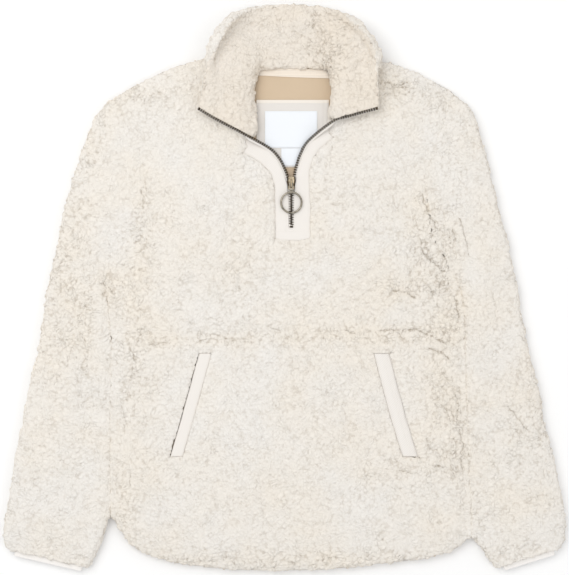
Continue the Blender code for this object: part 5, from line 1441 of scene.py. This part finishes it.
def slider_piece():
    """The slider: a tapering plate with a sunk face, flanges at its sides, and the bridge for the pull."""
    base, top = 0.0127, 0.0143
    middle_y, length, head, tail = 0.1336, 0.0168, 0.0118, 0.0078
    bpy.ops.object.select_all(action="DESELECT")
    bpy.ops.mesh.primitive_circle_add(vertices=48, radius=1.0, fill_type="NGON", location=(0.0, 0.0, 0.0))
    piece = bpy.context.active_object
    points, _ = arrays(piece.data)
    angle = np.arctan2(points[:, 1], points[:, 0])
    power = 0.42
    x = np.sign(np.cos(angle)) * np.abs(np.cos(angle)) ** power
    y = np.sign(np.sin(angle)) * np.abs(np.sin(angle)) ** power
    half = (tail + (head - tail) * (y * 0.5 + 0.5)) / 2.0
    waist = 1.0 - 0.07 * np.exp(-((y + 0.1) / 0.45) ** 2)
    x, y = ZIP_MIDDLE_X + x * half * waist, middle_y + y * length / 2.0
    put_points(piece.data, np.stack([x, y, np.full(len(x), base)], axis=1))

    def flanks(centres, normals):
        """The rim faces under both sides of the slider, where its flanges hang."""
        aside, along = np.abs(centres[:, 0] - ZIP_MIDDLE_X), centres[:, 1] - middle_y
        return (normals[:, 2] < -0.9) & (aside > 0.0036) & (-0.0065 < along) & (along < 0.0015)

    pick_faces(piece, lambda centres, normals: np.ones(len(normals), bool))
    bpy.ops.mesh.extrude_region_move(TRANSFORM_OT_translate={"value": (0.0, 0.0, top - base)})
    bpy.ops.mesh.select_all(action="SELECT")
    bpy.ops.mesh.normals_make_consistent(inside=False)
    pick_faces(piece, lambda centres, normals: normals[:, 2] > 0.9)
    bpy.ops.mesh.inset(thickness=0.0004)
    bpy.ops.mesh.inset(thickness=0.0009)
    bpy.ops.mesh.inset(thickness=0.0003, depth=-0.0004)
    pick_faces(piece, lambda centres, normals: normals[:, 2] < -0.9)
    bpy.ops.mesh.inset(thickness=0.0010)
    pick_faces(piece, flanks)
    bpy.ops.mesh.extrude_region_move(TRANSFORM_OT_translate={"value": (0.0, 0.0, -0.0013)})
    bpy.ops.object.mode_set(mode="OBJECT")
    apply_modifier(piece, "BEVEL", width=0.00022, segments=2, limit_method="ANGLE", angle_limit=0.7)

    bpy.ops.object.select_all(action="DESELECT")
    upright = (0.0, math.pi / 2.0, 0.0)
    bpy.ops.mesh.primitive_torus_add(
        major_segments=48, minor_segments=12, major_radius=1.0, minor_radius=0.1, rotation=upright
    )
    bridge = bpy.context.active_object
    bpy.ops.object.transform_apply(location=False, rotation=True, scale=False)
    points, _ = arrays(bridge.data)
    around = np.arctan2(points[:, 2], points[:, 1])
    reach = np.hypot(points[:, 1], points[:, 2]) - 1.0
    deep = reach * 5.5 * MM
    side = points[:, 0] * 8.5 * MM
    flat = 1.0 - 0.25 * np.abs(np.cos(around)) ** 4
    y = middle_y + (0.00545 + deep) * np.cos(around)
    z = top + (0.00315 + deep) * np.sin(around) * flat
    put_points(bridge.data, np.stack([ZIP_MIDDLE_X + side, y, z], axis=1))
    take_up(bridge)
    bpy.ops.object.mode_set(mode="EDIT")
    bpy.ops.mesh.select_all(action="SELECT")
    low = (0.0, 0.0, top - 0.0008)
    bpy.ops.mesh.bisect(plane_co=low, plane_no=(0.0, 0.0, 1.0), clear_inner=True, use_fill=True)
    bpy.ops.mesh.select_all(action="SELECT")
    bpy.ops.mesh.normals_make_consistent(inside=False)
    join_into(piece, bridge)
    put_down(piece, "zip_slider", brass_dark, "dark_brass", "slider")
    # The upward faces in the slider's middle take the lighter brass: a painted highlight on its top.
    piece.data.materials.append(brass_painted_highlight)
    for face in piece.data.polygons:
        inner = abs(face.center.x - ZIP_MIDDLE_X) < 0.0036 and face.normal.z > 0.3
        face.material_index = int(inner and face.center.z > base)


def pull_piece():
    """The link between the slider and the ring, its edges worn round."""
    piece = copy_of("pull_link", "zip_link")
    even_out(piece, 0.00019)
    round_off(piece, 4)
    put_down(piece, "zip_link", brass_rubbed, "dark_brass", "pull_link", body="link")


def ring_piece():
    """The ring: round wire bent until its ends meet, with the joint showing away from the link."""
    radius, wire, droop = 0.0131, 0.00125, math.radians(3.8)
    hinge = np.array([ZIP_MIDDLE_X, 0.1221, 0.0158])
    bpy.ops.object.select_all(action="DESELECT")
    bpy.ops.mesh.primitive_torus_add(
        major_segments=120, minor_segments=14, major_radius=radius, minor_radius=wire
    )
    piece = bpy.context.active_object
    points, _ = arrays(piece.data)
    angle = np.arctan2(points[:, 0], points[:, 1])
    middle = np.stack([np.sin(angle) * radius, np.cos(angle) * radius, np.zeros(len(angle))], axis=1)
    off_joint = np.abs(np.angle(np.exp(1j * (angle - 2.6))))
    pinch = 1.0 - 0.16 * np.exp(-((off_joint / 0.03) ** 2))
    worn = 1.0 + 0.012 * np.sin(angle * 9.0) + 0.010 * np.sin(angle * 23.0 + 1.0)
    points = middle + (points - middle) * np.minimum(pinch * worn, 1.0)[:, None]
    points[:, 1] -= radius
    y = points[:, 1] * math.cos(droop) - points[:, 2] * math.sin(droop)
    z = points[:, 1] * math.sin(droop) + points[:, 2] * math.cos(droop)
    put_points(piece.data, np.stack([points[:, 0], y, z], axis=1) + hinge)
    put_down(piece, "zip_ring", brass_rubbed, "dark_brass", "pull_ring", body="ring")


half_chain("teeth_left", "zip_teeth_left", ZIP_LEFT, 1.0)
half_chain("teeth_right", "zip_teeth_right", ZIP_RIGHT, -1.0)
closed_chain()
zip_tape("zip_tape_left", ZIP_LEFT, -0.0042, 0.0002, 1.0, -0.0005)
zip_tape("zip_tape_right", ZIP_RIGHT, -0.0042, 0.0002, -1.0, -0.0005)
closed_path = [(8.3, 74.7, 11.5), (8.3, 95.0, 11.5), (8.3, 115.0, 11.5), (8.3, 137.0, 11.2)]
zip_tape("zip_tape_closed", closed_path, -0.0037, 0.0037, 1.0, -0.0004)
slider_piece()
pull_piece()
ring_piece()


# ---------------------------------------------------------------- floor, light and camera


def floor():
    bpy.ops.mesh.primitive_plane_add(size=6.0, location=(0.0, 0.0, -0.0002))
    made = bpy.context.active_object
    made.name = "studio_floor"
    look = Finish("pale floor")
    cloudy = look.noise(look.place(), 4.0, 2.0, 0.5)
    pale = look.blend(cloudy, (0.955, 0.955, 0.955), (0.965, 0.965, 0.965))
    look.shade(Base_Color=pale, Roughness=0.8, Specular_IOR_Level=0.1)
    made.data.materials.append(look.material)


def soft_light(name, place, aim, size, power, colour=(1.0, 1.0, 1.0)):
    lamp = bpy.data.lights.new(name, "AREA")
    lamp.shape = "DISK"
    lamp.size = size
    lamp.energy = power
    lamp.color = colour
    held = bpy.data.objects.new(name, lamp)
    held.location = place
    held.rotation_euler = (Vector(aim) - Vector(place)).to_track_quat("-Z", "Y").to_euler()
    bpy.context.scene.collection.objects.link(held)


floor()
soft_light("window_light", (-1.0, 0.85, 2.15), (0.0, 0.0, 0.0), 2.1, 24.5, (1.0, 0.995, 0.985))
soft_light("fill_light", (1.8, -0.8, 2.0), (0.0, 0.0, 0.0), 1.8, 8.2)
world = bpy.data.worlds.new("studio")
world.use_nodes = True
world.node_tree.nodes["Background"].inputs["Color"].default_value = (1.0, 1.0, 1.0, 1.0)
world.node_tree.nodes["Background"].inputs["Strength"].default_value = 0.737
bpy.context.scene.world = world
bpy.context.scene.view_settings.view_transform = "Standard"

FRAME_TALL = 0.736  # what the camera sees of the garment's plane, top to bottom
lens = bpy.data.cameras.new("camera")
lens.lens = 100.0
lens.sensor_width = 36.0
camera = bpy.data.objects.new("camera", lens)
camera.location = (-0.0004, 0.0004, 0.012 + FRAME_TALL / 2.0 * 100.0 / 18.0)
bpy.context.scene.collection.objects.link(camera)
bpy.context.scene.camera = camera
